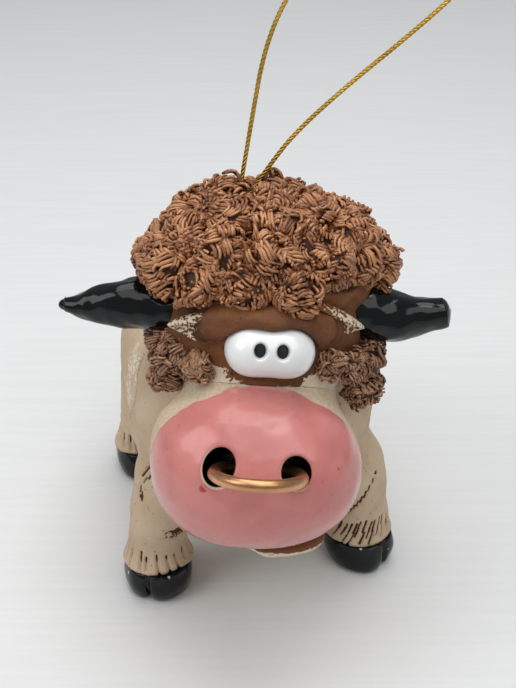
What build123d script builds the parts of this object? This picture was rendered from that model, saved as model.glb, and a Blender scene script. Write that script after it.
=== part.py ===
"""Cow ornament: a hand-built clay cow on four hooves, with a wire nose ring and a hanging cord.

The pieces are modelled in the animal's own frame: it faces -Y, +Z is up, the floor is Z = 0 and
the body stands on the Z axis.  The head's pieces are modelled in a frame of their own, at the
middle of the skull, and then turned and tilted with the head.  At the end everything is moved by
STAND, so that the origin lies on the floor under the middle of the whole outline.  Left and right
are the animal's own sides, so its left is +X.  Lengths are millimetres and angles are degrees.
"""

import os
from math import cos, exp, pi, radians, sin, sqrt, tan

from build123d import *

# Where the animal's own frame stands, measured from the origin
STAND = Vector(1.9, 12.7, 0)

# Body: a hollow loaf that narrows towards the rear
BODY_LENGTH = 68.0
BODY_FRONT_WIDTH = 60.0
BODY_REAR_WIDTH = 51.0
BODY_HEIGHT = 46.0
BODY_MIDDLE_Y = 3.0
BELLY_HEIGHT = 20.0
BODY_CORNER = 21.0
BODY_ROUNDNESS = 3.0
CLAY_WALL = 4.5
VENT_DIAMETER = 6.0

# Legs and hooves
FRONT_TRACK = 48.4
REAR_TRACK = 41.0
FRONT_FEET_Y = -20.3
REAR_FEET_Y = 26.0
HOOF_HEIGHT = 7.6
HOOF_RADIUS = 8.0
HOOF_BULGE_HEIGHT = 3.2
HOOF_SOLE_RADIUS = 6.6
HOOF_TOP_RADIUS = 7.4
CLEFT_WIDTH = 1.8
CLEFT_DEPTH = 3.2
CUFF_RADIUS = 7.8
ANKLE_RADIUS = 6.7
ANKLE_RISE = 5.0
SHOULDER_RADIUS = 8.6
SHOULDER_RISE = 16.0
LEG_LEAN_IN = 6.5

# Head: where the middle of the skull stands on the body, and how the head is turned and tilted
HEAD_ASIDE = -0.2
HEAD_BEHIND_FRONT = 7.9
HEAD_ABOVE_BACK = 5.0
HEAD_TURN = -10.0
HEAD_TILT = 5.0
SKULL_HALF_WIDTH = 22.0
SKULL_RADIUS = 20.0

# Muzzle: a hollow egg that lies across the face, with two nostrils
MUZZLE_DROP = 47.6
MUZZLE_SEAT = 6.7
MUZZLE_HALF_WIDTH = 22.0
MUZZLE_RADIUS = 17.8
MUZZLE_WALL = 4.2
NOSTRIL_LIFT = 30.0
NOSTRIL_SPREAD = 7.6
NOSTRIL_ASIDE = -0.8
NOSTRIL_HALF_WIDTH = 3.4
NOSTRIL_HALF_HEIGHT = 3.9
NOSTRIL_RISE = 0.6

# Nose ring: a split wire ring that hangs in both nostrils
RING_RADIUS = 8.6
RING_WIRE = 2.6
RING_LIFT = 24.0
RING_REACH = 3.8
RING_SPLIT = 1.2

# Lower lip: a flattened pad under the muzzle
LIP_ASIDE = 6.5
LIP_FORWARD = 2.0
LIP_HALF_WIDTH = 9.5
LIP_HALF_DEPTH = 6.5
LIP_HALF_THICKNESS = 3.2

# Eyes: one white pad of two lobes, with a pressed pupil hole in each
EYE_ASIDE = 0.6
EYE_HEIGHT = 3.2
EYE_SET_IN = 0.6
EYE_PITCH = 25.0
EYE_LOBE_HALF_WIDTH = 5.7
EYE_LOBE_RADIUS = 5.6
EYE_LOBE_SPREAD = 3.7
PUPIL_SPREAD = 2.3
PUPIL_RISE = 0.4
PUPIL_RADIUS = 1.05
PUPIL_DEPTH = 2.6
PUPIL_GLAZE = 1.2

# Brow: a roll of clay across the forehead
BROW_HALF_SPAN = 12.0
BROW_HEIGHT = 8.8
BROW_DROP = 2.0
BROW_RADIUS = 3.6

# Ears: folded leaves that point out and down
RIGHT_EAR_HEIGHT = 5.9
LEFT_EAR_HEIGHT = 8.4
EAR_ROOT_ASIDE = 10.5
EAR_LENGTH = 12.5
EAR_HALF_HEIGHT = 4.4
EAR_HALF_DEPTH = 3.0
EAR_DROOP = 14.0
EAR_SWEEP = 20.0
EAR_FOLD_RADIUS = 1.5

# Horns: the right one is straight, the left one turns up at its tip
HORN_FORWARD = 3.0
HORN_ROOT_RADIUS = 5.7
HORN_BURIED = 5.0
RIGHT_HORN_HEIGHT = 3.2
RIGHT_HORN_LENGTH = 20.4
RIGHT_HORN_DROP = 1.6
RIGHT_HORN_TIP_RADIUS = 1.0
LEFT_HORN_HEIGHT = 4.6
LEFT_HORN_LENGTH = 17.4
LEFT_HORN_RISE = 1.0
LEFT_HORN_DIP = 1.4
LEFT_HORN_TIP_RADIUS = 2.0

# Hair: a pad over the skull and rows of curl tufts on it, each row at its own lift
MOP_BEHIND = 1.5
MOP_ABOVE = 10.5
MOP_HALF_WIDTH = 28.4
MOP_HALF_DEPTH = 22.0
MOP_HALF_HEIGHT = 19.0
PAD_BELOW_CURLS = 4.6
TUFT_RADIUS = 5.6
TUFT_STAND = 0.8
TUFT_STAND_TURN = 110.0
LOW_ROW_LIFT = 8.0
LOW_ROW_COUNT = 14
HIGH_ROW_LIFT = 38.0
HIGH_ROW_COUNT = 11
FRONT_RAISE = 6.0
LEFT_RAISE = 24.0
LEFT_RAISE_AT = 50.0
LEFT_RAISE_WIDTH = 28.0
HIGH_ROW_SHARE = 0.45
CROWN_ROW_LIFT = 66.0
CROWN_ROW_COUNT = 6
NAPE_ROW_LIFT = -24.0
NAPE_ROW_COUNT = 5
NAPE_ROW_STEP = 26.0
FRINGE_SECTOR = 52.0
SIDE_SECTOR = 128.0

# Cheek tufts: each ball of curls as (aside, ahead and below of the skull's middle, radius)
RIGHT_CHEEK = ((20.6, 6.7, 3.8, 4.3), (18.0, 11.9, 3.6, 4.3), (12.8, 16.7, 3.0, 3.3), (19.2, 10.4, 9.4, 3.3))
LEFT_CHEEK = ((22.2, 6.4, 3.4, 4.5), (18.4, 11.7, 3.4, 4.4), (13.4, 16.5, 0.8, 3.3), (21.4, 9.4, 10.4, 4.4))
CHEEK_TURN = (35.0, 50.0, 10.0)

# Tail: a clay rope down the rump that ends in a curl tuft
TAIL_RADIUS = 2.28
TAIL_ROOT_HEIGHT = 50.0
TAIL_TIP_HEIGHT = 27.0
TAIL_SWING = 6.0
TAIL_TUFT_RADIUS = 3.7

# Hanger: a wire staple in the crown, with the cord knotted on it
STAPLE_ASIDE = -5.5
STAPLE_BEHIND = 9.5
STAPLE_WIRE = 1.2
STAPLE_HALF_WIDTH = 1.8
STAPLE_STAND = 5.4
STAPLE_BURIED = 3.2
KNOT_RADIUS = 1.8
KNOT_TURN = (90.0, 0.0, 37.0)
PIT_GAP = 2.0
PIT_FLARE = 3.4

# Hanging cord: one springy loop that leans back, its route given across and up from the knot
CORD_DIAMETER = 1.0
CORD_TURN = -12.0
CORD_LEAN = 14.0
ARC_SHARE = 0.45
CORD_ROUTE = (
    (-0.9, 0.8), (0.4, 8.5), (2.2, 19.0), (4.2, 30.0), (8.0, 40.0), (14.5, 49.0), (24.0, 56.0),
    (35.0, 58.5), (44.5, 55.0), (47.5, 47.0), (41.3, 40.5), (32.0, 32.4), (20.5, 23.0),
    (10.5, 13.8), (5.0, 6.6), (1.0, 0.8),
)

SIDES = {"right": -1, "left": 1}


def egg_share(offset, half_size):
    """How much of its full girth an egg has left at an offset from its middle."""
    return sqrt(1 - (offset / half_size) ** 2)


def ellipsoid(half_width, half_depth, half_height):
    """An egg with half sizes of its own along X, Y and Z, and its seam at the back."""
    return scale(Rot(0, 0, 90) * Sphere(1), by=(half_width, half_depth, half_height))


def tapered(stations):
    """A round horn, leg or rope: circles carried along (point, radius) stations."""
    points = [point for point, _ in stations]
    sections = []
    for i, (point, radius) in enumerate(stations):
        along = points[min(i + 1, len(points) - 1)] - points[max(i - 1, 0)]
        sections.append(Plane(point, z_dir=along) * Circle(radius))
    return loft(sections)


def cut(shape, *others):
    """What is left of a shape once others have taken their room from it."""
    for other in others:
        shape = shape - other
    return shape


def in_head(shape):
    """Carries a shape from the head's own frame to the animal's frame."""
    return HEAD_PLACE * shape


# Places that several pieces share
body_front = BODY_MIDDLE_Y - BODY_LENGTH / 2
body_rear = BODY_MIDDLE_Y + BODY_LENGTH / 2
back_height = BELLY_HEIGHT + BODY_HEIGHT
HEAD_PLACE = (
    Pos(HEAD_ASIDE, body_front + HEAD_BEHIND_FRONT, back_height + HEAD_ABOVE_BACK)
    * Rot(0, 0, HEAD_TURN)
    * Rot(0, HEAD_TILT, 0)
)
muzzle_distance = SKULL_RADIUS + MUZZLE_RADIUS - MUZZLE_SEAT
muzzle_centre = Vector(
    0, -muzzle_distance * cos(radians(MUZZLE_DROP)), -muzzle_distance * sin(radians(MUZZLE_DROP))
)


def skull_front(x, z):
    """The Y of the skull's front surface, in the head's frame."""
    return -sqrt((SKULL_RADIUS * egg_share(x, SKULL_HALF_WIDTH)) ** 2 - z**2)


def skull_top(x, y):
    """The Z of the skull's upper surface, in the head's frame."""
    return sqrt((SKULL_RADIUS * egg_share(x, SKULL_HALF_WIDTH)) ** 2 - y**2)


def skull_side(y, z):
    """The half width of the skull at a place on its side."""
    return SKULL_HALF_WIDTH * egg_share(sqrt(y**2 + z**2), SKULL_RADIUS)


def loaf(inset):
    """The body's form: rounded sections along Y that close in towards both ends."""
    sections = []
    half = BODY_LENGTH / 2 - inset
    for share in (-0.985, -0.9, -0.68, -0.34, 0.0, 0.34, 0.68, 0.9, 0.985):
        close = (1 - abs(share) ** BODY_ROUNDNESS) ** (1 / BODY_ROUNDNESS)
        width = (BODY_FRONT_WIDTH + BODY_REAR_WIDTH + share * (BODY_REAR_WIDTH - BODY_FRONT_WIDTH)) / 2
        section = RectangleRounded(
            close * (width - 2 * inset), close * (BODY_HEIGHT - 2 * inset), close * (BODY_CORNER - inset)
        )
        place = Plane((0, share * half, 0), x_dir=(1, 0, 0), z_dir=(0, 1, 0))
        sections.append(place * section)
    return Pos(0, BODY_MIDDLE_Y, BELLY_HEIGHT + BODY_HEIGHT / 2) * loft(sections)


def skull_egg(grow=0.0):
    """The skull's whole form, in the head's frame."""
    return ellipsoid(SKULL_HALF_WIDTH + grow, SKULL_RADIUS + grow, SKULL_RADIUS + grow)


def muzzle_egg(grow=0.0):
    """The muzzle's whole form, in the head's frame."""
    radius = MUZZLE_RADIUS + grow
    return Pos(*muzzle_centre) * ellipsoid(MUZZLE_HALF_WIDTH + grow, radius, radius)


def hoof(x, y):
    """A hoof: a bulging round block, cleft at the front."""
    side = ThreePointArc(
        (HOOF_SOLE_RADIUS, 0), (HOOF_RADIUS, HOOF_BULGE_HEIGHT), (HOOF_TOP_RADIUS, HOOF_HEIGHT)
    )
    outline = Polyline(side @ 1, (0, HOOF_HEIGHT), (0, 0), side @ 0)
    block = revolve(Plane.XZ * make_face([side, outline]), Axis.Z)
    mouth = -HOOF_RADIUS - CLEFT_DEPTH
    wedge = Polygon(
        (-CLEFT_WIDTH, mouth), (CLEFT_WIDTH, mouth), (0, -HOOF_RADIUS + CLEFT_DEPTH), align=None
    )
    return Pos(x, y, 0) * (block - extrude(wedge, HOOF_HEIGHT))


def leg(side, x, y):
    """A leg's whole form: a cuff on the hoof, a narrower ankle and a shoulder inside the body."""
    floor = Vector(x, y, HOOF_HEIGHT)
    shoulder_height = BELLY_HEIGHT + SHOULDER_RISE
    lean = Vector(-side * LEG_LEAN_IN, 0, 0)
    knee = Vector(x, y, BELLY_HEIGHT) + lean * 0.25
    return tapered([
        (floor, CUFF_RADIUS),
        (floor + Vector(0, 0, ANKLE_RISE), ANKLE_RADIUS),
        (knee, (ANKLE_RADIUS + SHOULDER_RADIUS) / 2),
        (Vector(x, y, shoulder_height) + lean, SHOULDER_RADIUS),
    ])


def right_horn():
    """The straight horn: a bullet that droops a little, its root sunk in the skull."""
    root = Vector(-skull_side(HORN_FORWARD, RIGHT_HORN_HEIGHT), -HORN_FORWARD, RIGHT_HORN_HEIGHT)
    out = Vector(-RIGHT_HORN_LENGTH, 0, 0)
    drop = Vector(0, 0, -RIGHT_HORN_DROP)
    stations = [(root + Vector(HORN_BURIED, 0, 0), HORN_ROOT_RADIUS)]
    for share, girth in ((0.0, 1.0), (0.35, 0.94), (0.7, 0.62), (0.92, 0.3)):
        stations.append((root + out * share + drop * share**2, HORN_ROOT_RADIUS * girth))
    stations.append((root + out + drop, RIGHT_HORN_TIP_RADIUS))
    horn = tapered(stations)
    return fillet(horn.faces().sort_by(Axis.X)[0].edges(), 0.8 * RIGHT_HORN_TIP_RADIUS)


def left_horn():
    """The other horn: it dips, then turns up to a blunt tip."""
    root = Vector(skull_side(HORN_FORWARD, LEFT_HORN_HEIGHT), -HORN_FORWARD, LEFT_HORN_HEIGHT)
    stations = [(root - Vector(HORN_BURIED, 0, 0), HORN_ROOT_RADIUS)]
    for share, girth in ((0.0, 1.05), (0.3, 0.97), (0.6, 0.78), (0.85, 0.58)):
        lift = LEFT_HORN_RISE * share**2 - LEFT_HORN_DIP * sin(pi * share)
        stations.append((root + Vector(LEFT_HORN_LENGTH * share, 0, lift), HORN_ROOT_RADIUS * girth))
    stations.append((root + Vector(LEFT_HORN_LENGTH, 0, LEFT_HORN_RISE), LEFT_HORN_TIP_RADIUS))
    horn = tapered(stations)
    return fillet(horn.faces().sort_by(Axis.X)[-1].edges(), 0.8 * LEFT_HORN_TIP_RADIUS)


def ear(side, height):
    """A leaf with a fold pressed along its front."""
    half = EAR_LENGTH / 2
    leaf = ellipsoid(half, EAR_HALF_DEPTH, EAR_HALF_HEIGHT)
    fold = Pos(0, -EAR_HALF_DEPTH, 0) * ellipsoid(half, EAR_FOLD_RADIUS, EAR_FOLD_RADIUS)
    root = Vector(side * EAR_ROOT_ASIDE, skull_front(EAR_ROOT_ASIDE, height), height)
    return Pos(*root) * Rot(0, side * EAR_DROOP, 0) * Rot(0, 0, side * EAR_SWEEP) * Pos(side * half, 0, 0) * (
        leaf - fold
    )


def brow():
    """A roll that follows the forehead from ear to ear."""
    ends = [
        Vector(x, skull_front(x, BROW_HEIGHT - BROW_DROP), BROW_HEIGHT - BROW_DROP)
        for x in (-BROW_HALF_SPAN, BROW_HALF_SPAN)
    ]
    path = ThreePointArc(ends[0], (0, skull_front(0, BROW_HEIGHT), BROW_HEIGHT), ends[1])
    roll = sweep(Plane(path @ 0, z_dir=path % 0) * Circle(BROW_RADIUS), path)
    return roll.fuse(*[Pos(*end) * Sphere(BROW_RADIUS) for end in ends])


eye_centre = Vector(EYE_ASIDE, skull_front(EYE_ASIDE, EYE_HEIGHT) + EYE_SET_IN, EYE_HEIGHT)


def eye_lobes():
    """The eye pad's whole form: two eggs side by side."""
    lobe = ellipsoid(EYE_LOBE_HALF_WIDTH, EYE_LOBE_RADIUS, EYE_LOBE_RADIUS)
    pair = [Pos(side * EYE_LOBE_SPREAD, 0, 0) * lobe for side in SIDES.values()]
    return Pos(*eye_centre) * pair[0].fuse(pair[1])


def pupils(length, start):
    """Two short rods that look forward and up out of the eye pad."""
    rod = Cylinder(PUPIL_RADIUS, length, align=(Align.CENTER, Align.CENTER, Align.MIN))
    look = Pos(*eye_centre) * Rot(-EYE_PITCH, 0, 0)
    return [
        look * Pos(side * PUPIL_SPREAD, start - EYE_LOBE_RADIUS, PUPIL_RISE) * Rot(-90, 0, 0) * rod
        for side in SIDES.values()
    ]


# Where the ring hangs: the middle of the nostril wall
nostril_wall = [
    radius * egg_share(NOSTRIL_SPREAD, half_width)
    for radius, half_width in (
        (MUZZLE_RADIUS, MUZZLE_HALF_WIDTH),
        (MUZZLE_RADIUS - MUZZLE_WALL, MUZZLE_HALF_WIDTH - MUZZLE_WALL),
    )
]
nostril_way = Vector(0, -cos(radians(NOSTRIL_LIFT)), sin(radians(NOSTRIL_LIFT)))
nostril_up = Vector(0, sin(radians(NOSTRIL_LIFT)), cos(radians(NOSTRIL_LIFT)))
hinge_place = muzzle_centre + Vector(NOSTRIL_ASIDE, 0, 0) + nostril_way * (sum(nostril_wall) / 2)


def nostrils():
    """Two oval bores through the muzzle's wall, a little above the ring's hinge line."""
    bores = []
    for side in SIDES.values():
        mouth = hinge_place + Vector(side * NOSTRIL_SPREAD, 0, 0) + nostril_up * NOSTRIL_RISE
        place = Plane(mouth, x_dir=(1, 0, 0), z_dir=nostril_way)
        oval = place * Ellipse(NOSTRIL_HALF_WIDTH, NOSTRIL_HALF_HEIGHT)
        bores.append(extrude(oval, MUZZLE_WALL * 1.5, both=True))
    return bores


def nose_ring():
    """A wire ring through both nostrils, split where it is out of sight inside the muzzle."""
    lift = radians(RING_LIFT)
    centre = hinge_place + Vector(0, -cos(lift), sin(lift)) * RING_REACH
    wire = Torus(RING_RADIUS, RING_WIRE / 2)
    split = Pos(0, RING_RADIUS, 0) * Box(RING_SPLIT, 2 * RING_WIRE, 2 * RING_WIRE)
    return Plane(centre, x_dir=(1, 0, 0), z_dir=(0, sin(lift), cos(lift))).location * (wire - split)


def lower_lip():
    """A flat pad on the underside of the muzzle."""
    fall = -MUZZLE_RADIUS * egg_share(LIP_ASIDE, MUZZLE_HALF_WIDTH)
    place = muzzle_centre + Vector(LIP_ASIDE, -LIP_FORWARD, fall)
    return Pos(*place) * ellipsoid(LIP_HALF_WIDTH, LIP_HALF_DEPTH, LIP_HALF_THICKNESS)


def tuft(bearing, lift, stand=0.0):
    """One ball of curls on the mop's surface, at a bearing round from the front and a lift."""
    flat = cos(radians(lift))
    inset = TUFT_RADIUS - stand
    place = Vector(
        (MOP_HALF_WIDTH - inset) * flat * sin(radians(bearing)),
        MOP_BEHIND - (MOP_HALF_DEPTH - inset) * flat * cos(radians(bearing)),
        MOP_ABOVE + (MOP_HALF_HEIGHT - inset) * sin(radians(lift)),
    )
    return Pos(*place) * Sphere(TUFT_RADIUS)


def uneven(i):
    """How far a row's tuft of this number stands out of the mop."""
    return TUFT_STAND * sin(radians(TUFT_STAND_TURN * i))


def raised(bearing):
    """How much higher the hair ends over the face, most over the left ear, where the forehead is bare."""
    front = FRONT_RAISE * max(0, cos(radians(bearing)))
    return front + LEFT_RAISE * exp(-(((bearing - LEFT_RAISE_AT) / LEFT_RAISE_WIDTH) ** 2))


def hair_groups():
    """The tufts of each hair piece, sorted by where they sit."""
    groups = {name: [] for name in ("crown", "fringe", "right", "left", "nape")}
    rows = ((LOW_ROW_LIFT, LOW_ROW_COUNT, 1.0), (HIGH_ROW_LIFT, HIGH_ROW_COUNT, HIGH_ROW_SHARE))
    for lift, count, share in rows:
        for i in range(count):
            bearing = (i + 0.5) * 360 / count - 180
            if abs(bearing) < FRINGE_SECTOR:
                name = "fringe"
            elif abs(bearing) > SIDE_SECTOR:
                name = "nape"
            else:
                name = "right" if bearing < 0 else "left"
            stand = 0 if name == "nape" else uneven(i)
            groups[name].append(tuft(bearing, lift + share * raised(bearing), stand))
    for i in range(CROWN_ROW_COUNT):
        groups["crown"].append(tuft(i * 360 / CROWN_ROW_COUNT, CROWN_ROW_LIFT, uneven(i)))
    groups["crown"].append(tuft(0, 90))
    for i in range(NAPE_ROW_COUNT):
        bearing = 180 + (i - (NAPE_ROW_COUNT - 1) / 2) * NAPE_ROW_STEP
        groups["nape"].append(tuft(bearing, NAPE_ROW_LIFT))
    return {name: tufts[0].fuse(*tufts[1:]) for name, tufts in groups.items()}


def cheek_tuft(side, tufts):
    """Balls of curls from the side of the skull to the eyes, with one below them."""
    balls = []
    for aside, ahead, below, radius in tufts:
        balls.append(Pos(side * aside, -ahead, -below) * Rot(*CHEEK_TURN) * Sphere(radius))
    return balls[0].fuse(*balls[1:])


staple_foot = Vector(STAPLE_ASIDE, STAPLE_BEHIND, skull_top(STAPLE_ASIDE, STAPLE_BEHIND))
staple_top = staple_foot + Vector(0, 0, STAPLE_STAND)


def hanger_staple():
    """A bent wire with both feet in the skull and an arch above it."""
    reach = Vector(STAPLE_HALF_WIDTH, 0, 0)
    foot = staple_foot - Vector(0, 0, STAPLE_BURIED)
    spring = staple_top - Vector(0, 0, STAPLE_HALF_WIDTH)
    wire = Wire([
        Line(foot - reach, spring - reach),
        ThreePointArc(spring - reach, staple_top, spring + reach),
        Line(spring + reach, foot + reach),
    ])
    return sweep(Plane(foot - reach, z_dir=(0, 0, 1)) * Circle(STAPLE_WIRE / 2), wire)


def staple_holes():
    """The two holes in the skull that the staple's feet fill."""
    hole = Cylinder(STAPLE_WIRE / 2, 2 * STAPLE_BURIED)
    return [Pos(*staple_foot) * Pos(side * STAPLE_HALF_WIDTH, 0, 0) * hole for side in SIDES.values()]


def hanger_pit():
    """Room in the hair for the staple and the knot, wider at the top for the cord."""
    depth = MOP_ABOVE + MOP_HALF_HEIGHT - staple_foot.Z + STAPLE_STAND
    bottom = STAPLE_HALF_WIDTH + PIT_GAP
    well = Cone(bottom, bottom + PIT_FLARE, depth, align=(Align.CENTER, Align.CENTER, Align.MIN))
    return Pos(*staple_foot) * Pos(0, 0, -STAPLE_WIRE) * well


def cord_radii():
    """The largest arc that each corner of the route has room for."""
    points = [Vector(*point) for point in CORD_ROUTE]
    radii = []
    for before, corner, after in zip(points, points[1:], points[2:]):
        turn = (corner - before).get_angle(after - corner)
        shorter = min((corner - before).length, (after - corner).length)
        radii.append(ARC_SHARE * shorter / tan(radians(turn / 2)))
    return radii


def hanging_cord(knot):
    """The cord's tube along its route, in the leaning plane of its loop."""
    path = FilletPolyline(*CORD_ROUTE, radius=cord_radii())
    tube = sweep(Plane(path @ 0, z_dir=path % 0) * Circle(CORD_DIAMETER / 2), path)
    expected = path.length * pi * CORD_DIAMETER**2 / 4
    print(f"cord: length {path.length:.1f}, volume {tube.volume / expected:.4f} of section times length")
    print("cord radii:", ", ".join(f"{radius:.1f}" for radius in cord_radii()))
    turn = Pos(*knot) * Rot(0, 0, CORD_TURN) * Rot(90 - CORD_LEAN, 0, 0)
    return turn * tube


def tail(reach):
    """A rope that leaves the rump high up and hangs down it, aside of the middle."""
    out = Vector(0, body_rear, 0)
    course = ((0.0, -6.0, 1.15), (0.3, reach, 1.1), (0.65, reach + 1.5, 0.95), (1.0, reach, 0.8))
    stations = []
    for share, stand, girth in course:
        height = TAIL_ROOT_HEIGHT + (TAIL_TIP_HEIGHT - TAIL_ROOT_HEIGHT) * share
        stations.append((out + Vector(TAIL_SWING * share**2, stand, height), TAIL_RADIUS * girth))
    return tapered(stations)


def build():
    """Every piece, cut to its neighbours, in the animal's own frame."""
    pieces = {}
    loaf_form = loaf(0)
    skull_form = in_head(skull_egg())
    muzzle_form = in_head(muzzle_egg())

    cavity = cut(loaf(CLAY_WALL), in_head(skull_egg(CLAY_WALL)), in_head(muzzle_egg(CLAY_WALL)))
    vent = Pos(0, BODY_MIDDLE_Y, BELLY_HEIGHT) * Cylinder(VENT_DIAMETER / 2, 4 * CLAY_WALL)
    pieces["body_shell"] = cut(loaf_form, skull_form, muzzle_form, cavity, vent)

    for end, track, y in (("front", FRONT_TRACK, FRONT_FEET_Y), ("rear", REAR_TRACK, REAR_FEET_Y)):
        for name, side in SIDES.items():
            x = side * track / 2
            pieces[f"{end}_{name}_leg"] = cut(leg(side, x, y), loaf_form)
            pieces[f"{end}_{name}_hoof"] = hoof(x, y)

    horns = {"right_horn": right_horn(), "left_horn": left_horn()}
    staple = hanger_staple()
    skull_room = cut(skull_egg(-CLAY_WALL), muzzle_egg(CLAY_WALL))
    pieces["skull"] = in_head(cut(skull_egg(), skull_room, muzzle_egg(), *horns.values(), *staple_holes()))
    muzzle_room = muzzle_egg(-MUZZLE_WALL).fuse(*nostrils())
    pieces["muzzle"] = in_head(cut(muzzle_egg(), muzzle_room))
    pieces["nose_ring"] = in_head(nose_ring())
    pieces["lower_lip"] = cut(in_head(lower_lip()), muzzle_form)

    eye_form = cut(eye_lobes(), skull_egg(), muzzle_egg())
    pieces["eye_pad"] = in_head(cut(eye_form, *pupils(2 * PUPIL_DEPTH, -PUPIL_DEPTH)))
    pieces["pupils"] = in_head(Compound(children=pupils(PUPIL_GLAZE, PUPIL_DEPTH - PUPIL_GLAZE)))
    for name, horn in horns.items():
        pieces[name] = in_head(horn)

    face = [skull_egg(), *horns.values(), eye_lobes()]
    ears = {}
    for name, height in (("right_ear", RIGHT_EAR_HEIGHT), ("left_ear", LEFT_EAR_HEIGHT)):
        ears[name] = cut(ear(SIDES[name.split("_")[0]], height), *face)
        pieces[name] = in_head(ears[name])
    brow_form = cut(brow(), *face, *ears.values())
    pieces["brow"] = in_head(brow_form)
    face += [*ears.values(), brow_form]

    pit = hanger_pit()
    pad_form = Pos(0, MOP_BEHIND, MOP_ABOVE) * ellipsoid(
        MOP_HALF_WIDTH - PAD_BELOW_CURLS, MOP_HALF_DEPTH - PAD_BELOW_CURLS, MOP_HALF_HEIGHT - PAD_BELOW_CURLS
    )
    pieces["hair_pad"] = in_head(cut(pad_form, *face, pit))
    placed = [pad_form]
    for name, tufts in hair_groups().items():
        trimmed = cut(tufts, *placed, *face, pit)
        placed.append(tufts)
        pieces[f"hair_{name}"] = cut(in_head(trimmed), loaf_form)
    for name, tufts in (("right", RIGHT_CHEEK), ("left", LEFT_CHEEK)):
        trimmed = cut(cheek_tuft(SIDES[name], tufts), *placed, *face, muzzle_egg())
        pieces[f"{name}_cheek_tuft"] = cut(in_head(trimmed), loaf_form)

    tail_form = tail(TAIL_RADIUS)
    pieces["tail"] = cut(tail_form, loaf_form)
    tip = Vector(TAIL_SWING, body_rear + TAIL_RADIUS, TAIL_TIP_HEIGHT)
    balls = [Pos(*(tip + Vector(0, 0, -step * TAIL_TUFT_RADIUS))) * Sphere(TAIL_TUFT_RADIUS * size)
             for step, size in ((0.2, 0.8), (0.9, 1.0), (1.7, 0.75))]
    pieces["tail_tuft"] = cut(balls[0].fuse(*balls[1:]), tail_form, loaf_form)

    knot_centre = (HEAD_PLACE * Pos(*staple_top)).position
    cord = hanging_cord(knot_centre)
    pieces["hanger_staple"] = in_head(staple)
    knot_ball = Pos(*knot_centre) * Rot(*KNOT_TURN) * Sphere(KNOT_RADIUS)
    pieces["cord_knot"] = cut(knot_ball, cord, in_head(staple))
    pieces["hanging_cord"] = cord
    return pieces


def write(pieces):
    """Writes one file for each piece, moved so that the origin is under the whole outline."""
    os.makedirs("parts", exist_ok=True)
    for name, piece in pieces.items():
        export_step(Pos(*STAND) * piece, f"parts/{name}.step")
    solid = Compound([piece for name, piece in pieces.items() if not name.endswith(("cord", "knot"))])
    box = (Pos(*STAND) * solid).bounding_box()
    print(f"outline without the cord: {box.min} to {box.max}")
    hinge = Pos(*STAND) * HEAD_PLACE * Pos(*hinge_place)
    axis = HEAD_PLACE.orientation
    print(f"ring hinge: {hinge.position}, head turned {axis}")


write(build())
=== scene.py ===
"""Looks of the clay cow ornament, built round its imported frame.

The cow stands on Z = 0 and faces -Y, and its own left is +X.  Sizes and places are millimetres in
the part's frame, and only the functions that fill a mesh or place a lamp turn them into metres.
Angles are degrees.  Every piece is a surface worked out as whole arrays, and each finish reads the
Object coordinates or the marks (values per point) that its piece carries.
"""

from __future__ import annotations

import logging
import math
from dataclasses import dataclass, field
from enum import Enum
from functools import cache
from typing import Callable

import bpy
import numpy as np
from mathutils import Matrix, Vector

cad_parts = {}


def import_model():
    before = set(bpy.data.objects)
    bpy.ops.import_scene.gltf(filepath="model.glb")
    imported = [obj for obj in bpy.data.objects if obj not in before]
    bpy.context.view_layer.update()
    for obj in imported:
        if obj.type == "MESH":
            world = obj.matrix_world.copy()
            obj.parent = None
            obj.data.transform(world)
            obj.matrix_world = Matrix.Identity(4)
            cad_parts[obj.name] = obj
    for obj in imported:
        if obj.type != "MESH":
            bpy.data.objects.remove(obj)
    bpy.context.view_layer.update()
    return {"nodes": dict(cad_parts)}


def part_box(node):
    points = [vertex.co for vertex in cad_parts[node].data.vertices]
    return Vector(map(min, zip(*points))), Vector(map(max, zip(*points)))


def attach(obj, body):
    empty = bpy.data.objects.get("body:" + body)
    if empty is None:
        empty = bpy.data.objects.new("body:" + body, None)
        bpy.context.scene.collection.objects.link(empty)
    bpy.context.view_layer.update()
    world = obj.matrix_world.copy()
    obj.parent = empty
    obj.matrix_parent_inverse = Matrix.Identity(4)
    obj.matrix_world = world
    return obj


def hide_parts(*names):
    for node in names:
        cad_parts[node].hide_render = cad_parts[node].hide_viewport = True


Array = np.ndarray
Point = tuple[float, float, float]
Pair = tuple[float, float]
Values = tuple[float, ...]
Waves = tuple[tuple[float, int, float], ...]
Field = Callable[[Array], Array]
Material = bpy.types.Material
Socket = bpy.types.NodeSocket
Thing = bpy.types.Object
Tree = bpy.types.NodeTree
MM = 0.001
ACROSS = np.array([1.0, 0.0, 0.0])
UPWARD = np.array([0.0, 0.0, 1.0])
TINY = 1e-9
LOG = logging.getLogger("cow")


class Body(Enum):
    """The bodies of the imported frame."""

    COW = "cow"
    RING = "ring"


class Slot(Enum):
    """The material slots, by name."""

    SLIP = "beige_slip"
    BLACK = "black_glaze"
    PINK = "pink_glaze"
    BROWN = "brown_stain"
    CURLS = "clay_curls"
    WHITE = "white_glaze"
    COPPER = "copper_wire"
    GOLD = "gold_cord"


class Side(Enum):
    """The animal's own sides, as signs along X."""

    RIGHT = -1
    LEFT = 1


class Axis(Enum):
    """The axis that a globe's poles lie on."""

    X = 0
    Y = 1
    Z = 2


def unit(vectors: Array) -> Array:
    """The same directions at length one."""
    return vectors / np.linalg.norm(vectors, axis=-1, keepdims=True)


def ease(values: Array, low: float, high: float) -> Array:
    """A smooth step from 0 at low to 1 at high."""
    share = np.clip((values - low) / (high - low), 0, 1)
    return share * share * (3 - 2 * share)


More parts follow.
